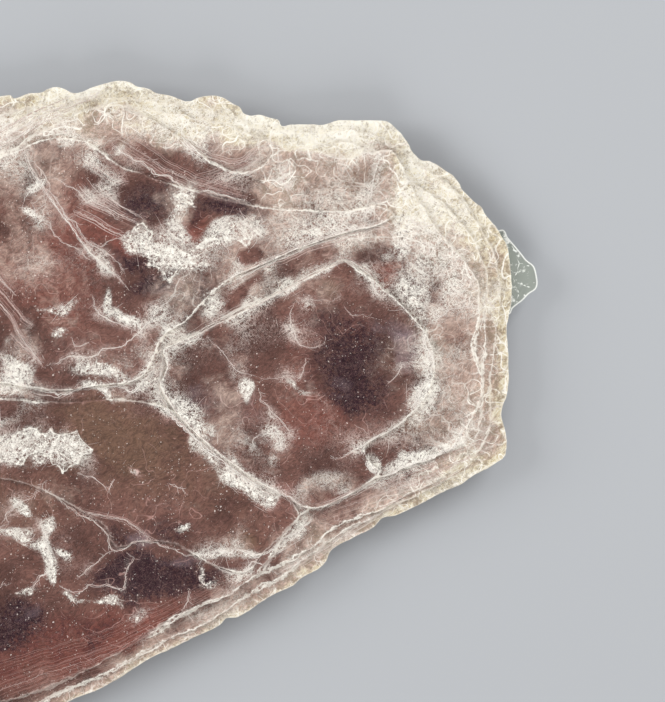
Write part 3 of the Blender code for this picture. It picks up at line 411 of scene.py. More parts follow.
def rim_radius(angle):
    """Distance from the plate's centre to the rim outline in one direction, by the edge that it crosses."""
    cx, cy = PLATE_CENTRE
    dx, dy = math.cos(angle), math.sin(angle)
    farthest = 0.0
    for (x1, y1), (x2, y2) in zip(RIM_OUTLINE, RIM_OUTLINE[1:] + RIM_OUTLINE[:1]):
        ex, ey = x2 - x1, y2 - y1
        cross = dx * ey - dy * ex
        if abs(cross) < 1e-9:
            continue
        reach = ((x1 - cx) * ey - (y1 - cy) * ex) / cross
        along_edge = ((x1 - cx) * dy - (y1 - cy) * dx) / cross
        if 0.0 <= along_edge <= 1.0:
            farthest = max(farthest, reach)
    return farthest


def inset_outline(inset, waver, phase, breaks=()):
    """The eased rim drawn in by inset, give or take waver, with straight breaks as (facing, distance)."""
    cx, cy = PLATE_CENTRE
    outline = []
    for angle in np.linspace(0.0, 2 * math.pi, 170, endpoint=False):
        eased = sum(rim_radius(angle + math.radians(off)) for off in (-5.0, -2.5, 0.0, 2.5, 5.0)) / 5
        waves = (0.45 * math.sin(3 * angle + phase) + 0.30 * math.sin(7 * angle + 2.3 * phase)
                 + 0.20 * math.sin(17 * angle + 3.7 * phase) + 0.12 * math.sin(31 * angle + 5.1 * phase))
        radius = eased - inset - waver * waves
        for facing, distance in breaks:
            towards = math.cos(angle - math.radians(facing))
            if towards > 0.05:
                radius = min(radius, distance / towards)
        outline.append((cx + radius * math.cos(angle), cy + radius * math.sin(angle)))
    return outline


def soft_noise(x, y, size, seed):
    """Smooth random hills between -1 and 1, about size millimetres across."""
    heights = np.random.default_rng(seed).uniform(-1.0, 1.0, (LATTICE, LATTICE))
    u, v = x / size, y / size
    i, j = np.floor(u).astype(int), np.floor(v).astype(int)
    s, t = u - i, v - j
    s, t = s * s * (3 - 2 * s), t * t * (3 - 2 * t)
    i0, i1, j0, j1 = i % LATTICE, (i + 1) % LATTICE, j % LATTICE, (j + 1) % LATTICE
    return ((heights[i0, j0] * (1 - s) + heights[i1, j0] * s) * (1 - t)
            + (heights[i0, j1] * (1 - s) + heights[i1, j1] * s) * t)


def patch_strength(x, y, patches):
    """The sum of soft ellipses at each point, their edges pulled about by noise."""
    x, y = (x + 1.3 * soft_noise(x, y, 4.5, 24) + 0.6 * soft_noise(x, y, 1.6, 25),
            y + 1.3 * soft_noise(x, y, 4.5, 26) + 0.6 * soft_noise(x, y, 1.6, 27))
    total = np.zeros(len(x))
    for cx, cy, half_length, half_width, turn, strength in patches:
        c, s = math.cos(math.radians(turn)), math.sin(math.radians(turn))
        u = ((x - cx) * c + (y - cy) * s) / half_length
        v = ((y - cy) * c - (x - cx) * s) / half_width
        total += strength * np.exp(-0.7 * (u * u + v * v) ** 1.5)
    return total


def near_tree(points):
    """A tree for finding the nearest of the points."""
    tree = kdtree.KDTree(len(points))
    for number, (x, y) in enumerate(points):
        tree.insert((x, y, 0.0), number)
    tree.balance()
    return tree


def nearest(tree, x, y):
    """The number of the nearest point in a tree and the distance to it, for each place."""
    found = [tree.find((a, b, 0.0)) for a, b in zip(x, y)]
    return np.array([number for _, number, _ in found]), np.array([distance for _, _, distance in found])


def crease_line(route, step, half_ruled):
    """Points along a crease, kinked by noise, and less so where ruled lines run beside it."""
    line = smooth_curve(route, step, closed=False)
    x, y = line.T
    kinks = np.stack([0.34 * soft_noise(x, y, 1.5, 28) + 0.16 * soft_noise(x, y, 0.6, 29),
                      0.34 * soft_noise(x, y, 1.5, 30) + 0.16 * soft_noise(x, y, 0.6, 23)], 1)
    return line + (0.3 if half_ruled else 1.0) * kinks


class Routes:
    """Creases laid end to end as close points, with a search tree."""

    def __init__(self, creases):
        lines, heading, along, width, strength, ruled = [], [], [], [], [], []
        for number, (power, wide, half_ruled, route) in enumerate(creases):
            line = crease_line(route, ROUTE_STEP, half_ruled)
            place = np.linspace(0.0, 1.0, len(line))
            lines.append(line)
            heading.append(tangents(line, False))
            along.append(ROUTE_STEP * np.arange(len(line)) + RULED_SHIFT * number)
            strength.append(power * np.minimum(1.0, 6 * np.minimum(place, 1 - place)) ** 0.5)
            width.append(np.full(len(line), wide))
            ruled.append(np.full(len(line), half_ruled))
        self.points = np.concatenate(lines)
        self.heading = np.concatenate(heading)
        self.along = np.concatenate(along)
        self.width = np.concatenate(width)
        self.strength = np.concatenate(strength)
        self.ruled = np.concatenate(ruled)
        self.tree = near_tree(self.points)


crease_routes = Routes(CREASES)
ruled_routes = Routes([crease for crease in CREASES if crease[2] > 0.0])
rim_tree = near_tree(smooth_curve(RIM_OUTLINE, CURVE_STEP))


def filled(outline):
    """Which cells of the view's grid lie inside the outline."""
    x1, y1 = outline.T
    x2, y2 = np.roll(x1, -1), np.roll(y1, -1)
    across = VIEW_LEFT + CELL * (np.arange(COLUMNS) + 0.5)
    inside = np.zeros((ROWS, COLUMNS), bool)
    for row in range(ROWS):
        y = VIEW_TOP + CELL * (row + 0.5)
        hit = (y1 > y) != (y2 > y)
        if hit.any():
            crossing = np.sort(x1[hit] + (y - y1[hit]) * (x2[hit] - x1[hit]) / (y2[hit] - y1[hit]))
            inside[row] = np.searchsorted(crossing, across) % 2 == 1
    return inside


def widened(cells, times):
    """The cells with their neighbours, as many times over as asked."""
    for _ in range(times):
        sideways = cells | np.roll(cells, 1, 1) | np.roll(cells, -1, 1)
        cells = sideways | np.roll(cells, 1, 0) | np.roll(cells, -1, 0)
    return cells


def looked_up(cells, points):
    """What the grid says at each point."""
    column = np.clip(((points[:, 0] - VIEW_LEFT) / CELL).astype(int), 0, COLUMNS - 1)
    row = np.clip(((points[:, 1] - VIEW_TOP) / CELL).astype(int), 0, ROWS - 1)
    return cells[row, column]


def scattered(step, seed):
    """A grid of points over the whole view, in staggered rows and a little shaken."""
    columns = np.arange(VIEW_LEFT, VIEW_LEFT + CELL * COLUMNS, step)
    rows = np.arange(VIEW_TOP, VIEW_TOP + CELL * ROWS, step * math.sqrt(0.75))
    x, y = np.meshgrid(columns, rows)
    x[1::2] += step / 2
    points = np.stack([x.ravel(), y.ravel()], 1)
    return points + np.random.default_rng(seed).uniform(-0.18 * step, 0.18 * step, points.shape)


def joined_up(outline, inside):
    """The points, faces and outline numbers of the triangles that an outline and points inside it make."""
    ring = [(i, (i + 1) % len(outline)) for i in range(len(outline))]
    made = delaunay_2d_cdt([Vector(p) for p in np.concatenate([outline, inside])], ring, [], 1, 1e-6)
    return np.array([tuple(p) for p in made[0]]), made[2], {o[0]: i for i, o in enumerate(made[3]) if o}


def broad_warp(x, y):
    """How far the whole stack bends up or down, in millimetres at the top leaf."""
    return 0.06 * soft_noise(x, y, 15.0, 21) + 0.03 * soft_noise(x, y, 5.0, 22)


def terrace_field(x, y):
    """Height in cleavage steps: the face of a leaf falls in low steps along the whole numbers."""
    return 3.0 * (soft_noise(x, y, 10.0, 31) + 0.5 * soft_noise(x, y, 4.3, 32)
                  + 0.28 * soft_noise(x, y, 1.9, 33) + 0.08 * soft_noise(x, y, 0.7, 34))


def pulled_noise(x, y, size, seed):
    """Soft noise whose hills are pulled about sideways."""
    return soft_noise(x + 0.35 * soft_noise(x, y, 0.8, 47), y + 0.35 * soft_noise(x, y, 0.8, 48), size, seed)


def crumple_distances(x, y):
    """Millimetres to the lines of each net of crumples, which run along the zeros of a noise."""
    probe = 0.05
    distances = []
    for size, seed, _, _ in CRUMPLE_NETS:
        here = pulled_noise(x, y, size, seed)
        right = pulled_noise(x + probe, y, size, seed)
        up = pulled_noise(x, y + probe, size, seed)
        distances.append(here / (np.hypot(right - here, up - here) / probe + 0.3))
    return distances


def deep_tones(x, y):
    """How strong the dark, rosy and tan zones deep in the book are."""
    return np.stack([patch_strength(x, y, zone) for zone in (DARK_PATCHES, ROSY_PATCHES, TAN_PATCHES)], 1)


def torn_field(x, y):
    """How torn the face is: soft patches, thick and thin by turns."""
    return patch_strength(x, y, TORN_PATCHES) * np.clip(0.75 + 0.7 * soft_noise(x, y, 1.4, 37), 0.1, 1.3)


def busy_field(x, y, crease_at, crease_distance):
    """How much the leaves have parted: 0 on clean cleavage, 1 and more in the torn clouds and by creases."""
    by_crease = crease_routes.strength[crease_at] * np.exp(-(crease_distance / 0.9) ** 2)
    return np.clip(0.8 * torn_field(x, y) + 0.45 * patch_strength(x, y, PALE_PATCHES)
                   + 0.5 * by_crease * np.clip(0.5 + soft_noise(x, y, 1.8, 38), 0.0, 1.2)
                   + 0.22 * soft_noise(x, y, 5.5, 35) + 0.20 * soft_noise(x, y, 2.2, 36) + 0.02
                   - 0.6 * patch_strength(x, y, DARK_PATCHES), 0.0, 1.4)


def face_marks(x, y, edge_tree, torn_all_over):
    """What the finish and the relief read at points of a leaf's face. The rim is plainer low in the view."""
    crease_at, crease_distance = nearest(crease_routes.tree, x, y)
    ruled_at, ruled_distance = nearest(ruled_routes.tree, x, y)
    to_crease = crease_routes.points[crease_at] - np.stack([x, y], 1)
    beside = np.stack([x, y], 1) - ruled_routes.points[ruled_at]
    heading = ruled_routes.heading[ruled_at]
    across = heading[:, 0] * beside[:, 1] - heading[:, 1] * beside[:, 0]
    reach = 1.25 * ruled_routes.ruled[ruled_at]
    ruled_power = np.clip(1.6 * (1.0 - ruled_distance / reach), 0.0, 1.0) * ruled_routes.strength[ruled_at]
    rim_distance = nearest(rim_tree, x, y)[1]
    # Edges are this leaf's own and those of the leaves above it. The torn strip and white line along them
    # are torn mica at its own edge, and painted light at the feet of the leaves above, where it hides the
    # ledges' shadow.
    edge_distance = nearest(edge_tree, x, y)[1]
    low_side = np.clip((y - 46.0) / 8.0, 0.0, 1.0)
    # The rim glow is painted light: a paler colour that stands in for light coming through the thin edge.
    painted_rim_glow = (1.3 - 0.2 * low_side) * np.exp(-rim_distance / (1.5 - 0.4 * low_side))
    crumples = [(1 + 1.6 * low_side) * away for away in crumple_distances(x, y)]
    return {
        "crease": np.stack([to_crease[:, 0], to_crease[:, 1], crease_routes.strength[crease_at]], 1),
        "crease_width": crease_routes.width[crease_at],
        "ruled": np.stack([ruled_routes.along[ruled_at], across, ruled_power], 1),
        "tone": deep_tones(x, y),
        "pale": patch_strength(x, y, PALE_PATCHES) + painted_rim_glow,
        "torn": torn_field(x, y) + 0.35 * np.exp(-(edge_distance / 0.32) ** 2) + torn_all_over,
        "terrace": terrace_field(x, y),
        # The third value beside the crumples is the lilac tone, which is painted sheen.
        "crumple": np.stack(crumples + [patch_strength(x, y, LILAC_SHEEN_PATCHES)], 1),
        "leaf_edge": np.minimum(edge_distance, EDGE_REACH),
        "busy": busy_field(x, y, crease_at, crease_distance) + 0.6 * torn_all_over,
        "crease_distance": crease_distance,
    }


def underside_marks(x, y):
    """The same for the smooth underside of a leaf, which has no creases, crumples or tears."""
    count = len(x)
    return {
        "crease": np.tile((9.0, 9.0, 0.0), (count, 1)),
        "crease_width": np.full(count, 0.1),
        "ruled": np.zeros((count, 3)),
        "tone": deep_tones(x, y),
        "pale": np.full(count, 0.25),
        "torn": np.zeros(count),
        "terrace": terrace_field(x, y),
        "crumple": np.tile((0.5, 0.5, 0.0), (count, 1)),
        "leaf_edge": np.zeros(count),
        "busy": np.full(count, 0.2),
    }


fine_points = scattered(FINE_STEP, 11)
coarse_points = scattered(COARSE_STEP, 12)


def leaf(outline, low, high, covered, higher_edges, torn_all_over=0.0):
    """One closed leaf between two heights. Its face is finely meshed where no other leaf covers it."""
    own = filled(outline)
    near_edge, well_inside = widened(~own, FINE_MARGIN), ~widened(~own, COARSE_MARGIN)
    open_cells = widened(own & ~covered, OVERLAP)
    fine = fine_points[looked_up(~near_edge & open_cells, fine_points)]
    coarse = coarse_points[looked_up(well_inside & ~widened(open_cells, OVERLAP), coarse_points)]
    below = coarse_points[looked_up(well_inside, coarse_points)]
    top, top_faces, top_ids = joined_up(outline, np.concatenate([fine, coarse]))
    bottom, bottom_faces, bottom_ids = joined_up(outline, below)
    x, y = top.T
    # The edges of higher leaves are given too, for the painted light at their feet.
    marks = face_marks(x, y, near_tree(np.concatenate([outline] + higher_edges)), torn_all_over)

    exposed = looked_up(open_cells, top)
    steps = marks["terrace"]
    rounded = np.floor(steps) + np.clip((steps - np.floor(steps) - 0.42) / 0.16, 0.0, 1.0)
    fold = FOLD_HEIGHT * marks["crease"][:, 2] * np.exp(-(marks["crease_distance"] / FOLD_HALF_WIDTH) ** 2)
    shreds = 0.05 * soft_noise(x, y, 0.6, 41) + 0.03 * soft_noise(x, y, 0.3, 42)
    roughness = np.clip(marks["torn"], 0.0, 1.0) * shreds
    ridges = sum(height * np.clip(1.0 - np.abs(away) / half_width, 0.0, 1.0)
                 for (_, _, half_width, height), away in zip(CRUMPLE_NETS, marks["crumple"].T))
    crumpled = np.clip(marks["pale"], 0.0, 1.0) * ridges
    detail = np.where(exposed, TERRACE_STEP * rounded + fold + roughness + crumpled
                      + 0.012 * soft_noise(x, y, 0.9, 43), 0.0)
    top_z = np.minimum(high + (high / HIGHEST) * broad_warp(x, y) + detail, HIGHEST)
    bottom_z = np.maximum(low - LEAF_SINK + (low / HIGHEST) * broad_warp(*bottom.T), 0.0)

    first = len(top)
    faces = [tuple(reversed(face)) for face in top_faces]
    faces += [tuple(i + first for i in face) for face in bottom_faces]
    for a in range(len(outline)):
        b = (a + 1) % len(outline)
        faces.append((top_ids[a], top_ids[b], bottom_ids[b] + first, bottom_ids[a] + first))
    points = np.concatenate([np.column_stack([top, top_z]), np.column_stack([bottom, bottom_z])])
    joined = {name: np.concatenate([marks[name], values])
              for name, values in underside_marks(*bottom.T).items()}
    return points, faces, joined, own


# Each sheet of the book, from the top down, as its piece, outline, heights, leaves and raggedness. The
# flakes are a little torn all over, and the other sheets only in patches.
FLAKES_TORN = 0.3
SHEETS = [("torn_flakes", frayed(outline), 5.00, 5.06, 1, 1.1) for outline in LIFTED_FLAKE_OUTLINES] + [
    ("torn_flakes", frayed(TORN_FLAKE_OUTLINE), 4.85, 4.93, 1, 0.9),
    ("torn_panels", RIGHT_PANEL_OUTLINE, 4.60, 5.20, 3, 0.35),
    ("torn_panels", UPPER_LEFT_OUTLINE, 4.60, 5.00, 2, 0.35),
    ("torn_panels", LOWER_LEFT_OUTLINE, 4.60, 4.85, 2, 0.35),
    ("book_body", BODY_OUTLINE, 4.10, 4.60, 3, 0.9),
    ("book_body", inset_outline(2.1, 0.7, 3.3), 3.60, 4.10, 3, 0.9),
    ("book_rim", inset_outline(1.0, 0.5, 0.9), 3.10, 3.60, 3, 0.8),
    ("book_rim", RIM_OUTLINE, 2.60, 3.10, 3, 0.25),
    ("book_rim", inset_outline(1.0, 0.45, 4.2), 2.20, 2.60, 2, 0.5),
    ("book_foot", inset_outline(2.3, 0.8, 2.9, [(330, 36.0)]), 1.60, 2.20, 3, 0.6),
    ("book_foot", inset_outline(4.6, 1.0, 1.7, [(95, 27.5), (215, 36.0)]), 0.90, 1.60, 3, 0.6),
    ("book_foot", inset_outline(8.2, 1.3, 0.4, [(25, 27.0), (150, 31.0), (285, 25.5)]), 0.00, 0.90, 4, 0.6),
]

covered = np.zeros((ROWS, COLUMNS), bool)
higher_edges = []
parts = {}
seed = 100
for piece_name, outline, low, high, leaves, raggedness in SHEETS:
    smooth = smooth_curve(outline, CURVE_STEP)
    for number in reversed(range(leaves)):
        seed += 1
        edge = torn(smooth, raggedness, seed)
        leaf_low = low + (high - low) * number / leaves
        leaf_high = low + (high - low) * (number + 1) / leaves
        points, faces, marks, own = leaf(edge, leaf_low, leaf_high, covered, higher_edges,
                                         FLAKES_TORN if piece_name == "torn_flakes" else 0.0)
        covered |= own
        higher_edges.append(edge)
        parts.setdefault(piece_name, []).append((points, faces, marks))

# Kinds of node that are used often, some with a setting that they always have. A share is a value's place
# between two ends, eased at both.
NOISE = "ShaderNodeTexNoise"
RANGE = "ShaderNodeMapRange"
SHARE = (RANGE, {"interpolation_type": "SMOOTHSTEP"})
BLEND = ("ShaderNodeMix", {"data_type": "RGBA"})
TIMES, PLUS, MINUS, TIMES_PLUS, DIVIDED, UNSIGNED, PAST_WHOLE, LARGER, POWER = (
    ("ShaderNodeMath", {"operation": operation}) for operation in (
        "MULTIPLY", "ADD", "SUBTRACT", "MULTIPLY_ADD", "DIVIDE", "ABSOLUTE", "FRACT", "MAXIMUM", "POWER"))
VECTOR_TIMES, VECTOR_PLUS, VECTOR_MINUS, VECTOR_TIMES_PLUS, VECTOR_SCALED, VECTOR_LENGTH = (
    ("ShaderNodeVectorMath", {"operation": operation}) for operation in (
        "MULTIPLY", "ADD", "SUBTRACT", "MULTIPLY_ADD", "SCALE", "LENGTH"))


def node(tree, kind, inputs=(), **settings):
    """Adds a node, or takes a given one, with its settings. Its inputs, in order or by name or number, are
    values, sockets, or nodes for their first output."""
    kind, always = kind if isinstance(kind, tuple) else (kind, {})
    made = kind if isinstance(kind, bpy.types.Node) else tree.nodes.new(kind)
    for name, value in {**always, **settings}.items():
        setattr(made, name, value)
    for socket, value in inputs.items() if isinstance(inputs, dict) else enumerate(inputs):
        if isinstance(value, bpy.types.Node):
            value = next(output for output in value.outputs if output.enabled)
        if isinstance(value, bpy.types.NodeSocket):
            tree.links.new(value, made.inputs[socket])
        else:
            made.inputs[socket].default_value = value
    return made


def linear(hex_colour):
    """An sRGB hex colour as linear red, green, blue and alpha."""
    channels = [int(hex_colour[i:i + 2], 16) / 255 for i in (1, 3, 5)]
    return tuple(c / 12.92 if c <= 0.04045 else ((c + 0.055) / 1.055) ** 2.4 for c in channels) + (1.0,)


def per_metre(size_mm):
    """The scale of a pattern whose cells are size_mm across, on coordinates in metres."""
    return 1000.0 / size_mm


def new_finish(name):
    """A new material, its node tree and its shader."""
    material = bpy.data.materials.new(name)
    material.use_nodes = True
    return material, material.node_tree, material.node_tree.nodes["Principled BSDF"]


# Cleaved lepidolite: brown mica with dark purple, rosy and tan zones, painted on and opaque, with a
# grey-lilac tone that is painted sheen and a rim that is partly a painted glow. It is glossy on clean
# cleavage and white wherever the leaves have parted, torn or creased; at the ledges this white is partly
# painted light.
lepidolite, tree, shader = new_finish("cleaved_lepidolite")
place = node(tree, "ShaderNodeTexCoord").outputs["Object"]
bent = place
for size, pull in ((5.0, 3.4), (1.1, 0.9)):
    drift = node(tree, NOISE, {"Vector": place, "Scale": per_metre(size), "Detail": 3.0})
    bent = node(tree, VECTOR_TIMES_PLUS, (drift.outputs["Color"], (pull * MM, pull * MM, 0.0), bent))
broad = node(tree, NOISE, {"Vector": bent, "Scale": per_metre(6.0), "Detail": 6.0, "Roughness": 0.62})
middle = node(tree, NOISE, {"Vector": bent, "Scale": per_metre(1.6), "Detail": 6.0, "Roughness": 0.7})
grain = node(tree, NOISE, {"Vector": place, "Scale": per_metre(0.32), "Detail": 4.0, "Roughness": 0.75})
vectors = [node(tree, "ShaderNodeAttribute", attribute_name=name).outputs["Vector"]
           for name in ("crease", "ruled", "tone", "crumple")]
split = [node(tree, "ShaderNodeSeparateXYZ", (vector,)).outputs for vector in vectors]
to_crease_x, to_crease_y, crease_power = split[0]
along_ruled, across_ruled, ruled_power = split[1]
dark, rosy, tan = split[2]
wide_crumple, narrow_crumple, lilac = split[3]
crease_width, pale, torn_and_painted_light, terrace, leaf_edge, busy = (
    node(tree, "ShaderNodeAttribute", attribute_name=name).outputs["Fac"]
    for name in ("crease_width", "pale", "torn", "terrace", "leaf_edge", "busy"))

# Zones of colour, one over the other, with uneven edges
mottle = node(tree, TIMES_PLUS, (middle, 1.3, -1.25))
mottle = node(tree, TIMES_PLUS, (broad, 1.2, mottle))
speckle = node(tree, SHARE, (grain, 0.36, 0.62, 0.55, 1.35))
speckled_dark = node(tree, TIMES, (dark, speckle))
ground = node(tree, SHARE, (broad, 0.36, 0.64))
colour = node(tree, BLEND, {0: ground, 6: linear("#513630"), 7: linear("#76534a")})
for amount, hex_colour, start, end in (
    (rosy, "#7a453b", 0.15, 1.25),
    (tan, "#6c5243", 0.10, 1.20),
    (speckled_dark, "#2a121b", 0.00, 0.90),
    # The lilac layer is painted sheen.
    (lilac, "#7d6c72", 0.20, 1.20),
    (pale, "#b79e91", 0.10, 0.80),
    # The two palest layers are partly the painted glow at the rim.
    (pale, "#d7caad", 0.70, 1.25),
    (pale, "#f4eeda", 1.20, 2.00),
):
    uneven = node(tree, PLUS, (amount, mottle))
    shows = node(tree, SHARE, (uneven, start, end))
    colour = node(tree, BLEND, {0: shows, 6: colour, 7: linear(hex_colour)})

# Grain and short slanting needles in the leaves, and tan gaps in the pale rim
slanted = node(tree, "ShaderNodeMapping", {"Vector": bent, "Rotation": (0.0, 0.0, math.radians(31)),
                                           "Scale": (3.0, 1.0, 1.0)}, vector_type="TEXTURE")
needles = node(tree, NOISE, {"Vector": slanted, "Scale": per_metre(0.15), "Detail": 3.0, "Roughness": 0.7})
needles = node(tree, SHARE, (needles, 0.34, 0.66))
for strength, pattern in ((0.34, grain), (0.32, needles)):
    colour = node(tree, BLEND, {0: strength, 6: colour, 7: pattern}, blend_type="OVERLAY")
gap = node(tree, TIMES, (grain, 0.6))
gap = node(tree, TIMES_PLUS, (middle, 0.6, gap))
gap = node(tree, SHARE, (gap, 0.51, 0.63, 0.8, 0.0))
in_rim = node(tree, SHARE, (pale, 0.3, 0.9))
gap = node(tree, TIMES, (gap, in_rim))
colour = node(tree, BLEND, {0: gap, 6: colour, 7: linear("#95846f")})

# White layers, each as what it follows, two ends on that, its strength at them, and how much of it shows.
# Lace: the crumpled edges of parted leaves, thick in the torn clouds and faint on clean cleavage.
white_layers = []
lace_width = node(tree, TIMES_PLUS, (busy, 0.034, 0.006))
lace_when_busy = node(tree, SHARE, (busy, 0.0, 0.5, 0.13, 1.0))
lace_when_dark = node(tree, SHARE, (dark, 0.1, 0.6, 0.0, 0.34))
lace_power = node(tree, LARGER, (lace_when_busy, lace_when_dark))
for size, detail in ((1.4, 6.0), (0.62, 5.0), (0.30, 3.0)):
    hills = node(tree, NOISE, {"Vector": place, "Scale": per_metre(size), "Detail": detail,
                               "Roughness": 0.72})
    beside = node(tree, MINUS, (hills, 0.5))
    beside = node(tree, UNSIGNED, (beside,))
    in_widths = node(tree, DIVIDED, (beside, lace_width))
    white_layers.append((in_widths, 0.2, 1.0, 0.9, 0.0, lace_power))

# Brushed streaks, where the leaves parted along a straight direction
parted = node(tree, SHARE, (busy, 0.12, 0.6))
for turn, size in ((31, 3.1), (-36, 2.7)):
    turned = node(tree, "ShaderNodeMapping", {"Vector": place, "Rotation": (0.0, 0.0, math.radians(turn)),
                                              "Scale": (22.0, 1.0, 1.0)}, vector_type="TEXTURE")
    streaks = node(tree, NOISE, {"Vector": turned, "Scale": per_metre(0.16), "Detail": 2.0})
    where = node(tree, NOISE, {"Vector": place, "Scale": per_metre(size), "Detail": 2.0})
    where = node(tree, SHARE, (where, 0.46, 0.60))
    shows = node(tree, TIMES, (where, parted))
    white_layers.append((streaks, 0.53, 0.65, 0.0, 0.7, shows))

# Crumple lines, on top of their ridges, in the pale rim only
in_rim = node(tree, SHARE, (pale, 0.25, 0.75))
here_and_there = node(tree, SHARE, (middle, 0.36, 0.52))
shows = node(tree, TIMES, (in_rim, here_and_there))
for distance, width in ((wide_crumple, 0.075), (narrow_crumple, 0.06)):
    beside = node(tree, UNSIGNED, (distance,))
    white_layers.append((beside, 0.2 * width, width, 0.95, 0.0, shows))

# Scalloped crinkles between them
pull = node(tree, NOISE, {"Vector": place, "Scale": per_metre(1.3), "Detail": 3.0, "Roughness": 0.6})
pulled = node(tree, VECTOR_TIMES_PLUS, (pull.outputs["Color"], (1.7 * MM, 1.7 * MM, 0.0), place))
in_rim = node(tree, SHARE, (pale, 0.35, 0.9))
here_and_there = node(tree, SHARE, (middle, 0.38, 0.56))
shows = node(tree, TIMES, (in_rim, here_and_there))
for size, strength in ((2.6, 0.8), (1.1, 0.5)):
    scallops = node(tree, "ShaderNodeTexVoronoi", {"Vector": pulled, "Scale": per_metre(size)},
                    feature="DISTANCE_TO_EDGE", voronoi_dimensions="2D")
    white_layers.append((scallops, 0.0, 0.07, strength, 0.0, shows))

# Edges of the low cleavage steps
beside = node(tree, PAST_WHOLE, (terrace,))
beside = node(tree, MINUS, (beside, 0.5))
beside = node(tree, UNSIGNED, (beside,))
here_and_there = node(tree, SHARE, (broad, 0.50, 0.56))
white_layers.append((beside, 0.0, 0.03, 0.5, 0.0, here_and_there))

# Creases and cracks, a faint glow beside them, and the ruled lines beside some of them
to_crease = node(tree, "ShaderNodeCombineXYZ", (to_crease_x, to_crease_y))
crease_distance = node(tree, VECTOR_LENGTH, (to_crease,)).outputs["Value"]
shaken = node(tree, PLUS, (crease_distance, -0.12))
shaken = node(tree, TIMES_PLUS, (grain, 0.24, shaken))
in_widths = node(tree, DIVIDED, (shaken, crease_width))
broken = node(tree, SHARE, (middle, 0.40, 0.54, 0.15, 0.9))
shows = node(tree, TIMES, (crease_power, broken))
white_layers.append((in_widths, 0.10, 0.42, 0.9, 0.0, shows))
white_layers.append((crease_distance, 0.0, 0.7, 0.12, 0.0, crease_power))
along_lines = node(tree, TIMES, (along_ruled, 0.16))
across_lines = node(tree, TIMES, (across_ruled, 4.2))
drawn_out = node(tree, "ShaderNodeCombineXYZ", (along_lines, across_lines))
ruled_lines = node(tree, NOISE, {"Vector": drawn_out, "Scale": 1.0, "Detail": 2.0, "Roughness": 0.6})
white_layers.append((ruled_lines, 0.55, 0.62, 0.0, 0.7, ruled_power))

# Torn patches and torn leaf edges: white shreds with dark gaps between them, and a little bright grain. The
# white along edges is partly painted light, widened against the shade of the ledge walls and laid at the
# feet of higher leaves to hide their shadow.
shreds = node(tree, NOISE, {"Vector": place, "Scale": per_metre(0.5), "Detail": 5.0, "Roughness": 0.8})
shreds_here = node(tree, TIMES_PLUS, (torn_and_painted_light, 0.09, shreds))
where_torn_and_lit = node(tree, SHARE, (torn_and_painted_light, 0.05, 0.5))
white_layers.append((shreds_here, 0.56, 0.66, 0.0, 1.0, where_torn_and_lit))
unrest = node(tree, PLUS, (busy, torn_and_painted_light))
unrest = node(tree, PLUS, (unrest, pale))
by_unrest = node(tree, SHARE, (unrest, 0.25, 0.75, 0.25, 1.0))
by_rim = node(tree, SHARE, (pale, 0.5, 1.1, 1.0, 0.5))
shows = node(tree, TIMES, (by_unrest, by_rim))
ragged_edge_and_painted_light = node(tree, TIMES_PLUS, (shreds, -0.9, leaf_edge))
white_layers.append((ragged_edge_and_painted_light, -0.43, -0.27, 0.85, 0.0, shows))
bright_grain = node(tree, TIMES_PLUS, (busy, 0.04, grain))
white_layers.append((bright_grain, 0.66, 0.72, 0.0, 0.8, 1.0))

white = 0.0
for what, start, end, start_strength, end_strength, shows in white_layers:
    layer = node(tree, SHARE, (what, start, end, start_strength, end_strength))
    layer = node(tree, TIMES, (layer, shows))
    white = node(tree, LARGER, (white, layer))
cool = node(tree, SHARE, (unrest, 0.0, 0.75))
white_colour = node(tree, BLEND, {0: cool, 6: linear("#c99f96"), 7: linear("#fcf8ee")})
colour = node(tree, BLEND, {0: white, 6: colour, 7: white_colour})

# Dust of bright specks, in loose clusters
dusty = node(tree, NOISE, {"Vector": bent, "Scale": per_metre(1.1), "Detail": 4.0, "Roughness": 0.65})
dusty = node(tree, SHARE, (dusty, 0.50, 0.60))
jolt = node(tree, NOISE, {"Vector": place, "Scale": per_metre(0.16), "Detail": 1.0})
ragged = node(tree, VECTOR_TIMES_PLUS, (jolt.outputs["Color"], (0.16 * MM, 0.16 * MM, 0.0), place))
for size, reach in ((0.26, 0.36), (0.6, 0.24)):
    specks = node(tree, "ShaderNodeTexVoronoi", {"Vector": ragged, "Scale": per_metre(size)},
                  voronoi_dimensions="2D")
    speck_size = node(tree, "ShaderNodeSeparateXYZ", (specks.outputs["Color"],)).outputs[0]
    speck = node(tree, TIMES_PLUS, (speck_size, -reach, specks.outputs["Distance"]))
    speck = node(tree, SHARE, (speck, 0.02 - reach * 0.72, 0.10 - reach * 0.72, 0.75, 0.0))
    speck = node(tree, TIMES, (speck, dusty))
    colour = node(tree, BLEND, {0: speck, 6: colour, 7: linear("#eee0d8")})
raised = node(tree, "ShaderNodeBump", {"Height": white, "Strength": 0.35, "Distance": 0.06 * MM})
gloss = node(tree, SHARE, (white, 0.0, 1.0, 0.30, 0.55))
node(tree, shader, {"Base Color": colour, "Roughness": gloss, "Normal": raised, "IOR": 1.5,
                    "Specular IOR Level": 0.3})


def in_frame(points):
    """Points of an outline and their heights, in metres, on the plate as it stands in the frame."""
    placed = np.empty_like(points)
    placed[:, 0] = (points[:, 0] - PLATE_CENTRE[0]) * MM
    placed[:, 1] = (PLATE_CENTRE[1] - points[:, 1]) * MM
    placed[:, 2] = points[:, 2] * MM
    return placed


def add_marks(mesh, marks):
    """Stores what a finish or a tree reads on the mesh's points."""
    for name, values in marks.items():
        vector = values.ndim == 2
        attribute = mesh.attributes.new(name, "FLOAT_VECTOR" if vector else "FLOAT", "POINT")
        attribute.data.foreach_set("vector" if vector else "value", values.astype(np.float32).ravel())


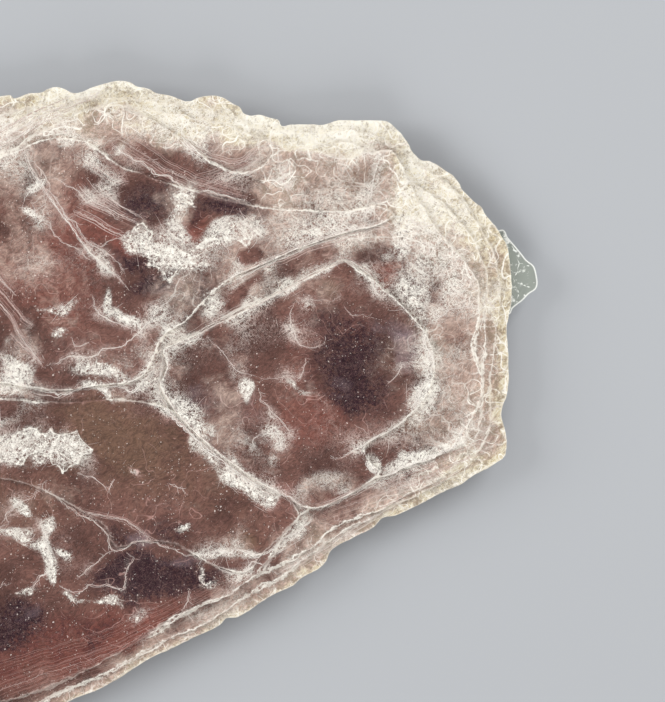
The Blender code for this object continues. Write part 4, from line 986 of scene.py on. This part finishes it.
def leaf_piece(name, points, faces, marks, finish):
    """The object that closed leaves make, sharp at their torn edges."""
    mesh = bpy.data.meshes.new(name)
    mesh.from_pydata(in_frame(points).tolist(), [], faces)
    mesh.validate()
    add_marks(mesh, marks)
    mesh.materials.append(finish)
    mesh.shade_smooth()
    mesh.set_sharp_from_angle(angle=math.radians(40))
    piece = bpy.data.objects.new(name, mesh)
    bpy.context.scene.collection.objects.link(piece)
    return piece


book_pieces = []
for piece_name, leaves in parts.items():
    all_points, all_faces, all_marks = zip(*leaves)
    starts = np.cumsum([0] + [len(points) for points in all_points])
    faces = [tuple(int(i + start) for i in face) for start, part in zip(starts, all_faces) for face in part]
    marks = {name: np.concatenate([part[name] for part in all_marks]) for name in all_marks[0]}
    piece = leaf_piece(piece_name, np.concatenate(all_points), faces, marks, lepidolite)
    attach(piece, "root")
    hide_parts("lepidolite_book")
    book_pieces.append(piece)

# The clear tongue: one colourless leaf of the same crystal, thin as card, that the right end of the book
# leaves bare. It grows out of the rim, is see-through, and is streaked white where it is cracked inside.
TONGUE_OUTLINE = [
    (50.2, 22.8), (51.1, 23.8), (52.25, 25.1), (52.9, 25.95), (53.5, 26.4), (53.8, 27.1), (54.0, 28.2),
    (53.8, 28.9), (53.1, 29.4), (52.5, 30.0), (51.5, 30.8), (51.0, 31.5), (48.5, 31.6), (46.4, 28.6),
    (47.4, 24.6),
]
TONGUE_CRACKS = [
    [(51.1, 23.9), (52.0, 26.2), (51.5, 28.0)],
    [(52.0, 26.2), (53.3, 26.6)],
    [(51.5, 28.0), (53.6, 28.9)],
    [(51.5, 28.0), (52.0, 29.2), (51.7, 30.6)],
    [(51.4, 24.9), (52.3, 25.2)],
]
TONGUE_LOW, TONGUE_HIGH = 2.25, 2.45

# Clear mica: glassy and smooth, with cloudy white flaws that let hardly any light through
clear_mica, tree, shader = new_finish("clear_mica_leaf")
place = node(tree, "ShaderNodeTexCoord").outputs["Object"]
cloud = node(tree, NOISE, {"Vector": place, "Scale": per_metre(1.2), "Detail": 5.0, "Roughness": 0.7})
edge_read, crack_read = (node(tree, "ShaderNodeAttribute", attribute_name=name).outputs["Fac"]
                         for name in ("leaf_edge", "crack"))
flaw = 0.0
for what, start, end, start_strength, end_strength in (
    (cloud, 0.52, 0.66, 0.0, 0.9),
    (edge_read, 0.04, 0.22, 0.9, 0.0),
    (crack_read, 0.02, 0.10, 0.9, 0.0),
):
    layer = node(tree, SHARE, (what, start, end, start_strength, end_strength))
    flaw = node(tree, LARGER, (flaw, layer))
colour = node(tree, BLEND, {0: flaw, 6: linear("#bfc6be"), 7: linear("#fbfcf7")})
clearness = node(tree, SHARE, (flaw, 0.0, 0.8, 0.6, 0.05))
node(tree, shader, {"Base Color": colour, "Transmission Weight": clearness, "Roughness": 0.08, "IOR": 1.56})

tongue_edge = torn(smooth_curve(TONGUE_OUTLINE, CURVE_STEP), 0.15, 301)
points, faces, marks, _ = leaf(tongue_edge, TONGUE_LOW, TONGUE_HIGH, np.zeros((ROWS, COLUMNS), bool), [])
crack_lines = [smooth_curve(crack, ROUTE_STEP, closed=False) for crack in TONGUE_CRACKS]
crack_distance = nearest(near_tree(np.concatenate(crack_lines)), *points[:, :2].T)[1]
tongue = leaf_piece("clear_tongue", points, faces,
                    {"leaf_edge": marks["leaf_edge"], "crack": crack_distance}, clear_mica)
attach(tongue, "root")
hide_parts("lepidolite_book")

# Threads on the face: the edges of parted leaves, seen as white hairs a few hundredths of a millimetre
# wide. They are grown in the stone, so each lies on the leaves below it and follows them over their ledges.
THREAD_LIFT = 0.004
SEAT_STEP = 1.0
SEAT_HEIGHT = 6.0
SEAT_MARGIN = 8
RAY_START, RAY_LENGTH = 0.01, 0.02
NAMED_MARK = "GeometryNodeInputNamedAttribute"
RANDOM = "FunctionNodeRandomValue"
REALIZE = "GeometryNodeRealizeInstances"
book_leaves = bpy.data.collections.new("book_leaves")
for piece in book_pieces:
    book_leaves.objects.link(piece)


def geometry_tree(name, inputs):
    """A node tree with a geometry in and out, and a named input for each size that it uses."""
    tree = bpy.data.node_groups.new(name, "GeometryNodeTree")
    tree.interface.new_socket("Geometry", in_out="INPUT", socket_type="NodeSocketGeometry")
    for label, kind in inputs.items():
        tree.interface.new_socket(label, in_out="INPUT", socket_type="NodeSocket" + kind)
    tree.interface.new_socket("Geometry", in_out="OUTPUT", socket_type="NodeSocketGeometry")
    return tree, node(tree, "NodeGroupInput").outputs


def end_tree(tree, geometry, material):
    """Makes instances real, gives them their material and hands them out."""
    solid = node(tree, REALIZE, (geometry,))
    dressed = node(tree, "GeometryNodeSetMaterial", {"Geometry": solid, "Material": material})
    node(tree, "NodeGroupOutput", (dressed,))


def grown_mesh(name, carrier_mesh, tree, values):
    """The plain mesh that a tree makes on a carrier, with its inputs set by their sockets' identifiers."""
    carrier = bpy.data.objects.new(name + "_carrier", carrier_mesh)
    bpy.context.scene.collection.objects.link(carrier)
    modifier = carrier.modifiers.new(name, "NODES")
    modifier.node_group = tree
    for item in tree.interface.items_tree:
        if item.in_out == "INPUT" and item.name in values:
            modifier[item.identifier] = values[item.name]
    evaluated = carrier.evaluated_get(bpy.context.evaluated_depsgraph_get())
    mesh = bpy.data.meshes.new_from_object(evaluated)
    mesh.name = name
    carrier.modifiers.remove(modifier)
    bpy.data.objects.remove(carrier)
    piece = bpy.data.objects.new(name, mesh)
    bpy.context.scene.collection.objects.link(piece)
    return piece


# Curves are dropped straight down on the leaves, and one that would reach past the rim is left out
drape, given = geometry_tree("laid_on_the_leaves", {"Leaves": "Collection", "Lift": "Float"})
leaves_here = node(drape, "GeometryNodeCollectionInfo", {"Collection": given["Leaves"]})
leaves_here = node(drape, REALIZE, (leaves_here,))
flat_place = node(drape, VECTOR_TIMES, (node(drape, "GeometryNodeInputPosition"), (1.0, 1.0, 0.0)))
ray_start = node(drape, VECTOR_PLUS, (flat_place, (0.0, 0.0, RAY_START)))
cast = node(drape, "GeometryNodeRaycast", {"Target Geometry": leaves_here, "Source Position": ray_start,
                                           "Ray Direction": (0.0, 0.0, -1.0), "Ray Length": RAY_LENGTH})
on_leaves = node(drape, "GeometryNodeFieldOnDomain", {"Value": cast.outputs["Is Hit"]}, domain="CURVE")
past_rim = node(drape, "FunctionNodeCompare", (on_leaves, 0.999), operation="LESS_THAN")
kept = node(drape, "GeometryNodeDeleteGeometry", {"Geometry": given["Geometry"], "Selection": past_rim},
            domain="CURVE")
laid = node(drape, "GeometryNodeSetPosition", {
    "Geometry": kept, "Position": cast.outputs["Hit Position"],
    "Offset": node(drape, "ShaderNodeCombineXYZ", {2: given["Lift"]})})
node(drape, "NodeGroupOutput", (laid,))


def laid_hairs(tree, given, curves, half_width):
    """A three-sided hair along each curve, laid on the leaves and running out to nothing at both ends."""
    laid = node(tree, "GeometryNodeGroup", {
        "Geometry": curves, "Leaves": given["Leaves"], "Lift": given["Lift"]}, node_tree=drape)
    along = node(tree, "GeometryNodeSplineParameter").outputs["Factor"]
    left = node(tree, MINUS, (1.0, along))
    taper = node(tree, TIMES, (along, left))
    taper = node(tree, TIMES, (taper, 4.0))
    taper = node(tree, POWER, (taper, 0.5))
    radius = node(tree, TIMES, (taper, half_width))
    profile = node(tree, "GeometryNodeCurvePrimitiveCircle", {"Resolution": 3, "Radius": 1.0})
    return node(tree, "GeometryNodeCurveToMesh", {"Curve": laid, "Profile Curve": profile, "Scale": radius,
                                                  "Fill Caps": True})


thread_tree, given = geometry_tree("scattered_threads", {
    "Leaves": "Collection", "Threads per m2": "Float", "Shortest": "Float", "Longest": "Float",
    "Half Width": "Float", "Wander": "Float", "Wander Scale": "Float", "Points": "Int", "Lift": "Float",
    "Seed": "Int", "Material": "Material"})
thick_here, heading_here, order_here, white_here, shade_here = (
    node(thread_tree, NAMED_MARK, {"Name": name}, data_type="FLOAT")
    for name in ("thread_share", "thread_heading", "thread_order", "white_share", "shade"))
any_turn, any_length, any_shade = (
    node(thread_tree, RANDOM, {2: lowest, 3: highest, "Seed": number})
    for number, (lowest, highest) in enumerate(((-math.pi, math.pi), (0.0, 1.0), (0.0, 0.5)), 1))
density = node(thread_tree, TIMES, (thick_here, given["Threads per m2"]))
seats = node(thread_tree, "GeometryNodeDistributePointsOnFaces", {
    "Mesh": given["Geometry"], "Density": density, "Seed": given["Seed"]})
disorder = node(thread_tree, MINUS, (1.0, order_here))
turn = node(thread_tree, TIMES_PLUS, (any_turn, disorder, heading_here))
mostly_short = node(thread_tree, POWER, (any_length, 2.5))
length = node(thread_tree, RANGE, {0: mostly_short, 3: given["Shortest"], 4: given["Longest"]})
straight = node(thread_tree, "GeometryNodeCurvePrimitiveLine", {
    "Start": (-0.5, 0.0, 0.0), "End": (0.5, 0.0, 0.0)})
straight = node(thread_tree, "GeometryNodeResampleCurve", {"Curve": straight, "Count": given["Points"]})
placed = node(thread_tree, "GeometryNodeInstanceOnPoints", {
    "Points": seats, "Instance": straight, "Scale": length,
    "Rotation": node(thread_tree, "ShaderNodeCombineXYZ", {2: turn})})
shade = node(thread_tree, PLUS, (white_here, any_shade))
shaded = node(thread_tree, "GeometryNodeStoreNamedAttribute", {
    "Geometry": placed, "Name": "shade", "Value": shade}, domain="INSTANCE", data_type="FLOAT")
loose = node(thread_tree, REALIZE, (shaded,))
drift = node(thread_tree, NOISE, {"Scale": given["Wander Scale"], "Detail": 2.0})
drift = node(thread_tree, VECTOR_MINUS, (drift.outputs["Color"], (0.5, 0.5, 0.5)))
drift = node(thread_tree, VECTOR_SCALED, {0: drift, "Scale": given["Wander"]})
bowed = node(thread_tree, "GeometryNodeSetPosition", {"Geometry": loose, "Offset": drift})
slimmed = node(thread_tree, RANGE, {0: shade_here, 3: 0.45, 4: 1.0})
half_width = node(thread_tree, TIMES, (given["Half Width"], slimmed))
end_tree(thread_tree, laid_hairs(thread_tree, given, bowed, half_width), given["Material"])

# The hairs' finish: the torn edge of a leaf scatters light, white to faintly pink
parted_edge, tree, shader = new_finish("parted_leaf_edge")
shade_read = node(tree, "ShaderNodeAttribute", attribute_name="shade").outputs["Fac"]
colour = node(tree, BLEND, {0: shade_read, 6: linear("#b98f86"), 7: linear("#fbf7f0")})
node(tree, shader, {"Base Color": colour, "Roughness": 0.45, "IOR": 1.55})

# Where scattered hairs grow: thick in the torn clouds and the pale rim, and in line beside ruled creases or
# where the torn flake is brushed, which is told by its place, its half length and width, and its direction
BRUSHED_X, BRUSHED_Y = 3.4, 44.8
BRUSHED_HALF_LENGTH, BRUSHED_HALF_WIDTH = 6.8, 3.0
BRUSHED_TURN = 38
seat_outline = smooth_curve(RIM_OUTLINE, SEAT_STEP)
inside = scattered(SEAT_STEP, 51)
inside = inside[looked_up(~widened(~filled(seat_outline), SEAT_MARGIN), inside)]
seat_points, seat_faces, _ = joined_up(seat_outline, inside)
x, y = seat_points.T
ruled_at, ruled_distance = nearest(ruled_routes.tree, x, y)
rim_distance = nearest(rim_tree, x, y)[1]
heading = ruled_routes.heading[ruled_at]
order = np.exp(-(ruled_distance / 1.8) ** 2)
torn_strength = np.clip(torn_field(x, y), 0.0, 1.2)
busy_strength = busy_field(x, y, *nearest(crease_routes.tree, x, y))
pale_strength = np.clip(patch_strength(x, y, PALE_PATCHES), 0.0, 1.0)
ruled_direction = np.arctan2(-heading[:, 1], heading[:, 0])
brushed = (np.abs(x - BRUSHED_X) < BRUSHED_HALF_LENGTH) & (np.abs(y - BRUSHED_Y) < BRUSHED_HALF_WIDTH)
seat_mesh = bpy.data.meshes.new("seats")
seat_mesh.from_pydata(in_frame(np.column_stack([seat_points, np.full(len(x), SEAT_HEIGHT)])).tolist(), [],
                      [tuple(reversed(face)) for face in seat_faces])
add_marks(seat_mesh, {
    "thread_share": np.clip(1.5 * busy_strength - 0.34, 0.0, 1.3) * (1 - 0.7 * order) * (rim_distance > 0.6),
    "white_share": np.clip(0.6 * busy_strength + 0.6 * pale_strength, 0.0, 0.7),
    "thread_heading": np.where(brushed, math.radians(BRUSHED_TURN), ruled_direction),
    "thread_order": np.where(brushed, 0.85, 0.93 * order),
    "scrap_share": (0.035 + np.clip(torn_strength - 0.12, 0.0, 1.0)) * (rim_distance > 0.5),
    "scrap_size": np.clip(0.36 + 0.9 * torn_strength, 0.0, 1.0),
})

# Each set as its name, threads to a square metre, shortest and longest, half width, how far they wander and
# over what size, points along each, and seed, with lengths in millimetres
THREAD_SETS = (
    ("long_threads", 0.85e6, 1.5, 5.0, 0.026, 0.7, 3.0, 8, 61),
    ("short_threads", 4.8e6, 0.3, 1.5, 0.024, 0.25, 1.0, 5, 62),
)
for name, per_area, shortest, longest, half_wide, wander_by, wander_size, count, seed in THREAD_SETS:
    piece = grown_mesh(name, seat_mesh, thread_tree, {
        "Leaves": book_leaves, "Threads per m2": per_area, "Points": count, "Seed": seed,
        "Shortest": shortest * MM, "Longest": longest * MM, "Half Width": half_wide * MM,
        "Wander": wander_by * MM, "Wander Scale": per_metre(wander_size), "Lift": THREAD_LIFT * MM,
        "Material": parted_edge})
    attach(piece, "root")
    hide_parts("lepidolite_book")

# Crease threads: the bright edge of the leaves that parted along each crease, with hairs that split off it,
# and the fine ruled lines that run beside some of them. They are laid on the leaves as the others are.
THREAD_STEP = 0.25
RULED_STEP = 0.24
line_tree, given = geometry_tree("crease_threads", {
    "Leaves": "Collection", "Lift": "Float", "Material": "Material"})
curves = node(line_tree, "GeometryNodeMeshToCurve", {"Mesh": given["Geometry"]})
half_width = node(line_tree, NAMED_MARK, {"Name": "half_width"}, data_type="FLOAT").outputs["Attribute"]
end_tree(line_tree, laid_hairs(line_tree, given, curves, half_width), given["Material"])
draw = np.random.default_rng(71)
line_points, line_edges, line_width, line_shade = [], [], [], []


def add_line(line, half_widths, shade):
    """Adds one thread to the mesh of edges that the tree turns into hairs."""
    first = len(line_points)
    line_points.extend((*point, SEAT_HEIGHT) for point in line)
    line_edges.extend((i, i + 1) for i in range(first, first + len(line) - 1))
    line_width.extend(half_widths * MM)
    line_shade.extend([shade] * len(line))


for power, wide, half_ruled, route in CREASES:
    offsets = [0.0]
    if half_ruled:
        offsets += list(np.arange(-half_ruled, half_ruled, RULED_STEP) + draw.uniform(-0.07, 0.07))
    for offset in offsets:
        line = crease_line(route, THREAD_STEP, half_ruled)
        if offset:
            start, end = sorted(draw.uniform(0.0, 1.0, 2))
            if end - start < 0.35:
                start, end = 0.0, 1.0
            line = line[int(start * len(line)):max(int(end * len(line)), int(start * len(line)) + 4)]
        if len(line) < 3:
            continue
        heading = tangents(line, False)
        aside = np.stack([-heading[:, 1], heading[:, 0]], 1)
        drift = 0.02 * np.cumsum(draw.normal(0.0, 0.5, len(line)))
        shift = offset * np.linspace(1.15, 0.75, len(line)) + drift
        if offset:
            half_wide = np.full(len(line), draw.uniform(0.018, 0.040) * min(1.0, 1.6 * power))
            add_line(line + aside * shift[:, None], half_wide, power * draw.uniform(0.1, 0.9))
            continue
        for strand in range(1 + (power > 0.5) + (wide > 0.2)):
            sway = shift + draw.normal(0.0, 0.3 * wide, len(line)) + 0.35 * wide * (strand - 0.5)
            knots = np.arange(0, len(line) + 6, 3)
            swell = np.interp(np.arange(len(line)), knots, draw.uniform(0.25, 1.0, len(knots)))
            add_line(line + aside * sway[:, None], (0.13 * wide * power + 0.02) * swell,
                     min(1.0, 0.3 + 0.8 * power) * draw.uniform(0.8, 1.0))
        for at in range(len(line)):
            for _ in range(2 if power > 0.55 else 1):
                if draw.uniform() > 0.55:
                    continue
                away = math.atan2(heading[at, 1], heading[at, 0])
                away += draw.choice([-1, 1]) * draw.uniform(0.2, 1.3)
                reach = 0.15 + 0.65 * draw.uniform() ** 2.5
                steps = np.linspace(0.0, reach, 4)[:, None]
                bend = draw.uniform(-0.5, 0.5) * steps ** 2
                hair = line[at] + draw.normal(0.0, 0.4 * wide, 2)
                hair = hair + steps * (math.cos(away), math.sin(away))
                hair = hair + bend * (-math.sin(away), math.cos(away))
                add_line(hair, np.full(4, draw.uniform(0.013, 0.028)), power * draw.uniform(0.3, 1.0))
line_mesh = bpy.data.meshes.new("crease_lines")
line_mesh.from_pydata(in_frame(np.array(line_points)).tolist(), line_edges, [])
add_marks(line_mesh, {"half_width": np.array(line_width), "shade": np.array(line_shade)})
piece = grown_mesh("crease_threads", line_mesh, line_tree,
                   {"Leaves": book_leaves, "Lift": THREAD_LIFT * MM, "Material": parted_edge})
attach(piece, "root")
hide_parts("lepidolite_book")

# Torn scraps: crumbs of leaf a few tenths of a millimetre across, lifted and left lying where the book is
# torn. They are the same mica, too thin to show its colour, so they are white and catch the light.
SCRAP_LIFT = 0.02
SCRAP_KINDS = 6
scrap_tree, given = geometry_tree("torn_scraps", {
    "Leaves": "Collection", "Scraps per m2": "Float", "Smallest": "Float", "Largest": "Float",
    "Tilt": "Float", "Scraps": "Collection", "Seed": "Int", "Material": "Material"})
thick_here, size_here = (node(scrap_tree, NAMED_MARK, {"Name": name}, data_type="FLOAT")
                         for name in ("scrap_share", "scrap_size"))
any_tip_x, any_tip_y, any_turn, any_size, any_shade = (
    node(scrap_tree, RANDOM, {2: lowest, 3: highest, "Seed": number})
    for number, (lowest, highest) in enumerate(
        ((-1.0, 1.0), (-1.0, 1.0), (-math.pi, math.pi), (0.0, 1.0), (0.0, 1.0)), 4))
density = node(scrap_tree, TIMES, (thick_here, given["Scraps per m2"]))
seats = node(scrap_tree, "GeometryNodeDistributePointsOnFaces", {
    "Mesh": given["Geometry"], "Density": density, "Seed": given["Seed"]})
leaves_here = node(scrap_tree, "GeometryNodeCollectionInfo", {"Collection": given["Leaves"]})
leaves_here = node(scrap_tree, REALIZE, (leaves_here,))
cast = node(scrap_tree, "GeometryNodeRaycast", {
    "Target Geometry": leaves_here, "Source Position": node(scrap_tree, "GeometryNodeInputPosition"),
    "Ray Direction": (0.0, 0.0, -1.0), "Ray Length": RAY_LENGTH})
seats = node(scrap_tree, "GeometryNodeSetPosition", {
    "Geometry": seats, "Position": cast.outputs["Hit Position"], "Offset": (0.0, 0.0, SCRAP_LIFT * MM)})
tip_x, tip_y = (node(scrap_tree, TIMES, (any_tip, given["Tilt"]))
                for any_tip in (any_tip_x, any_tip_y))
tipped = node(scrap_tree, "ShaderNodeCombineXYZ", (tip_x, tip_y, any_turn))
mostly_small = node(scrap_tree, POWER, (any_size, 2.2))
size = node(scrap_tree, RANGE, {0: mostly_small, 3: given["Smallest"], 4: given["Largest"]})
size = node(scrap_tree, TIMES, (size, size_here))
kinds = node(scrap_tree, "GeometryNodeCollectionInfo", {
    "Collection": given["Scraps"], "Separate Children": True, "Reset Children": True})
placed = node(scrap_tree, "GeometryNodeInstanceOnPoints", {
    "Points": seats, "Instance": kinds, "Pick Instance": True, "Rotation": tipped, "Scale": size})
shaded = node(scrap_tree, "GeometryNodeStoreNamedAttribute", {
    "Geometry": placed, "Name": "shade", "Value": any_shade}, domain="INSTANCE", data_type="FLOAT")
end_tree(scrap_tree, shaded, given["Material"])

# Six little plates with four or five corners, a unit across, for the tree to pick from
scrap_shapes = bpy.data.collections.new("scrap_shapes")
draw = np.random.default_rng(81)
for number in range(SCRAP_KINDS):
    corners = 4 + number % 2
    even = np.arange(corners) * 2 * math.pi / corners
    angles = np.sort(draw.uniform(0.0, 2 * math.pi, corners) * 0.35 + even)
    reach = draw.uniform(0.25, 0.62, corners)
    slender = draw.uniform(0.22, 0.6)
    top = [(r * math.cos(a), slender * r * math.sin(a), 0.05) for r, a in zip(reach, angles)]
    bottom = [(px, py, -0.05) for px, py, _ in top]
    faces = [tuple(range(corners)), tuple(reversed(range(corners, 2 * corners)))]
    faces += [(i, corners + i, corners + (i + 1) % corners, (i + 1) % corners) for i in range(corners)]
    mesh = bpy.data.meshes.new(f"scrap_{number}")
    mesh.from_pydata(top + bottom, [], faces)
    scrap_shapes.objects.link(bpy.data.objects.new(f"scrap_{number}", mesh))

# Torn mica scraps: white to grey-brown, smoother than the parted edges, so that some glint
scrap_finish, tree, shader = new_finish("torn_mica_scrap")
shade_read = node(tree, "ShaderNodeAttribute", attribute_name="shade").outputs["Fac"]
paleness = node(tree, SHARE, (shade_read, 0.05, 0.8))
colour = node(tree, BLEND, {0: paleness, 6: linear("#75605a"), 7: linear("#fdf9f1")})
node(tree, shader, {"Base Color": colour, "Roughness": 0.3, "IOR": 1.55})
piece = grown_mesh("torn_scraps", seat_mesh, scrap_tree, {
    "Leaves": book_leaves, "Scraps per m2": 29e6, "Smallest": 0.09 * MM, "Largest": 0.55 * MM, "Tilt": 0.4,
    "Scraps": scrap_shapes, "Seed": 82, "Material": scrap_finish})
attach(piece, "root")
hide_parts("lepidolite_book")
for shape in list(scrap_shapes.objects):
    bpy.data.objects.remove(shape)
bpy.data.collections.remove(scrap_shapes)
bpy.data.collections.remove(book_leaves)

# The floor: a plain sheet of matt pale grey paper for the plate to lie on, not part of the object
FLOOR_HALF = 0.6
floor_mesh = bpy.data.meshes.new("floor")
floor_mesh.from_pydata([(-FLOOR_HALF, -FLOOR_HALF, 0.0), (FLOOR_HALF, -FLOOR_HALF, 0.0),
                        (FLOOR_HALF, FLOOR_HALF, 0.0), (-FLOOR_HALF, FLOOR_HALF, 0.0)], [], [(0, 1, 2, 3)])
floor_paper, tree, shader = new_finish("matt_grey_paper")
node(tree, shader, {"Base Color": linear("#b2b5b9"), "Roughness": 0.9})
floor_mesh.materials.append(floor_paper)
floor = bpy.data.objects.new("floor", floor_mesh)
bpy.context.scene.collection.objects.link(floor)

# Soft studio light: large lamps low at the sides, so that ledges and creases catch it, and a dim even sky
for name, position, size, power in (
    ("key", (0.28, 0.26, 0.26), 0.22, 1.15),
    ("left", (-0.34, 0.10, 0.22), 0.24, 0.85),
    ("front", (0.05, -0.36, 0.24), 0.25, 0.80),
):
    lamp = bpy.data.lights.new(name, "AREA")
    lamp.size = size
    lamp.energy = power
    holder = bpy.data.objects.new(name, lamp)
    holder.location = position
    holder.rotation_euler = (-Vector(position)).to_track_quat("-Z", "Y").to_euler()
    bpy.context.scene.collection.objects.link(holder)
world = bpy.data.worlds.new("sky")
world.use_nodes = True
node(world.node_tree, world.node_tree.nodes["Background"], {"Color": linear("#ecebea"), "Strength": 0.52})
bpy.context.scene.world = world
bpy.context.scene.view_settings.view_transform = "Standard"

# The camera looks straight down, with the plate's left end past the edge of the view
VIEW_WIDTH, VIEW_HEIGHT = 66.5, 70.2
CAMERA_DISTANCE = 0.30
FACE_HEIGHT = 5.0
camera = bpy.data.cameras.new("camera")
camera.sensor_width = 36.0
camera.lens = camera.sensor_width * CAMERA_DISTANCE / (VIEW_HEIGHT * MM)
camera_holder = bpy.data.objects.new("camera", camera)
camera_holder.location = ((VIEW_WIDTH / 2 - PLATE_CENTRE[0]) * MM, (PLATE_CENTRE[1] - VIEW_HEIGHT / 2) * MM,
                          CAMERA_DISTANCE + FACE_HEIGHT * MM)
bpy.context.scene.collection.objects.link(camera_holder)
bpy.context.scene.camera = camera_holder
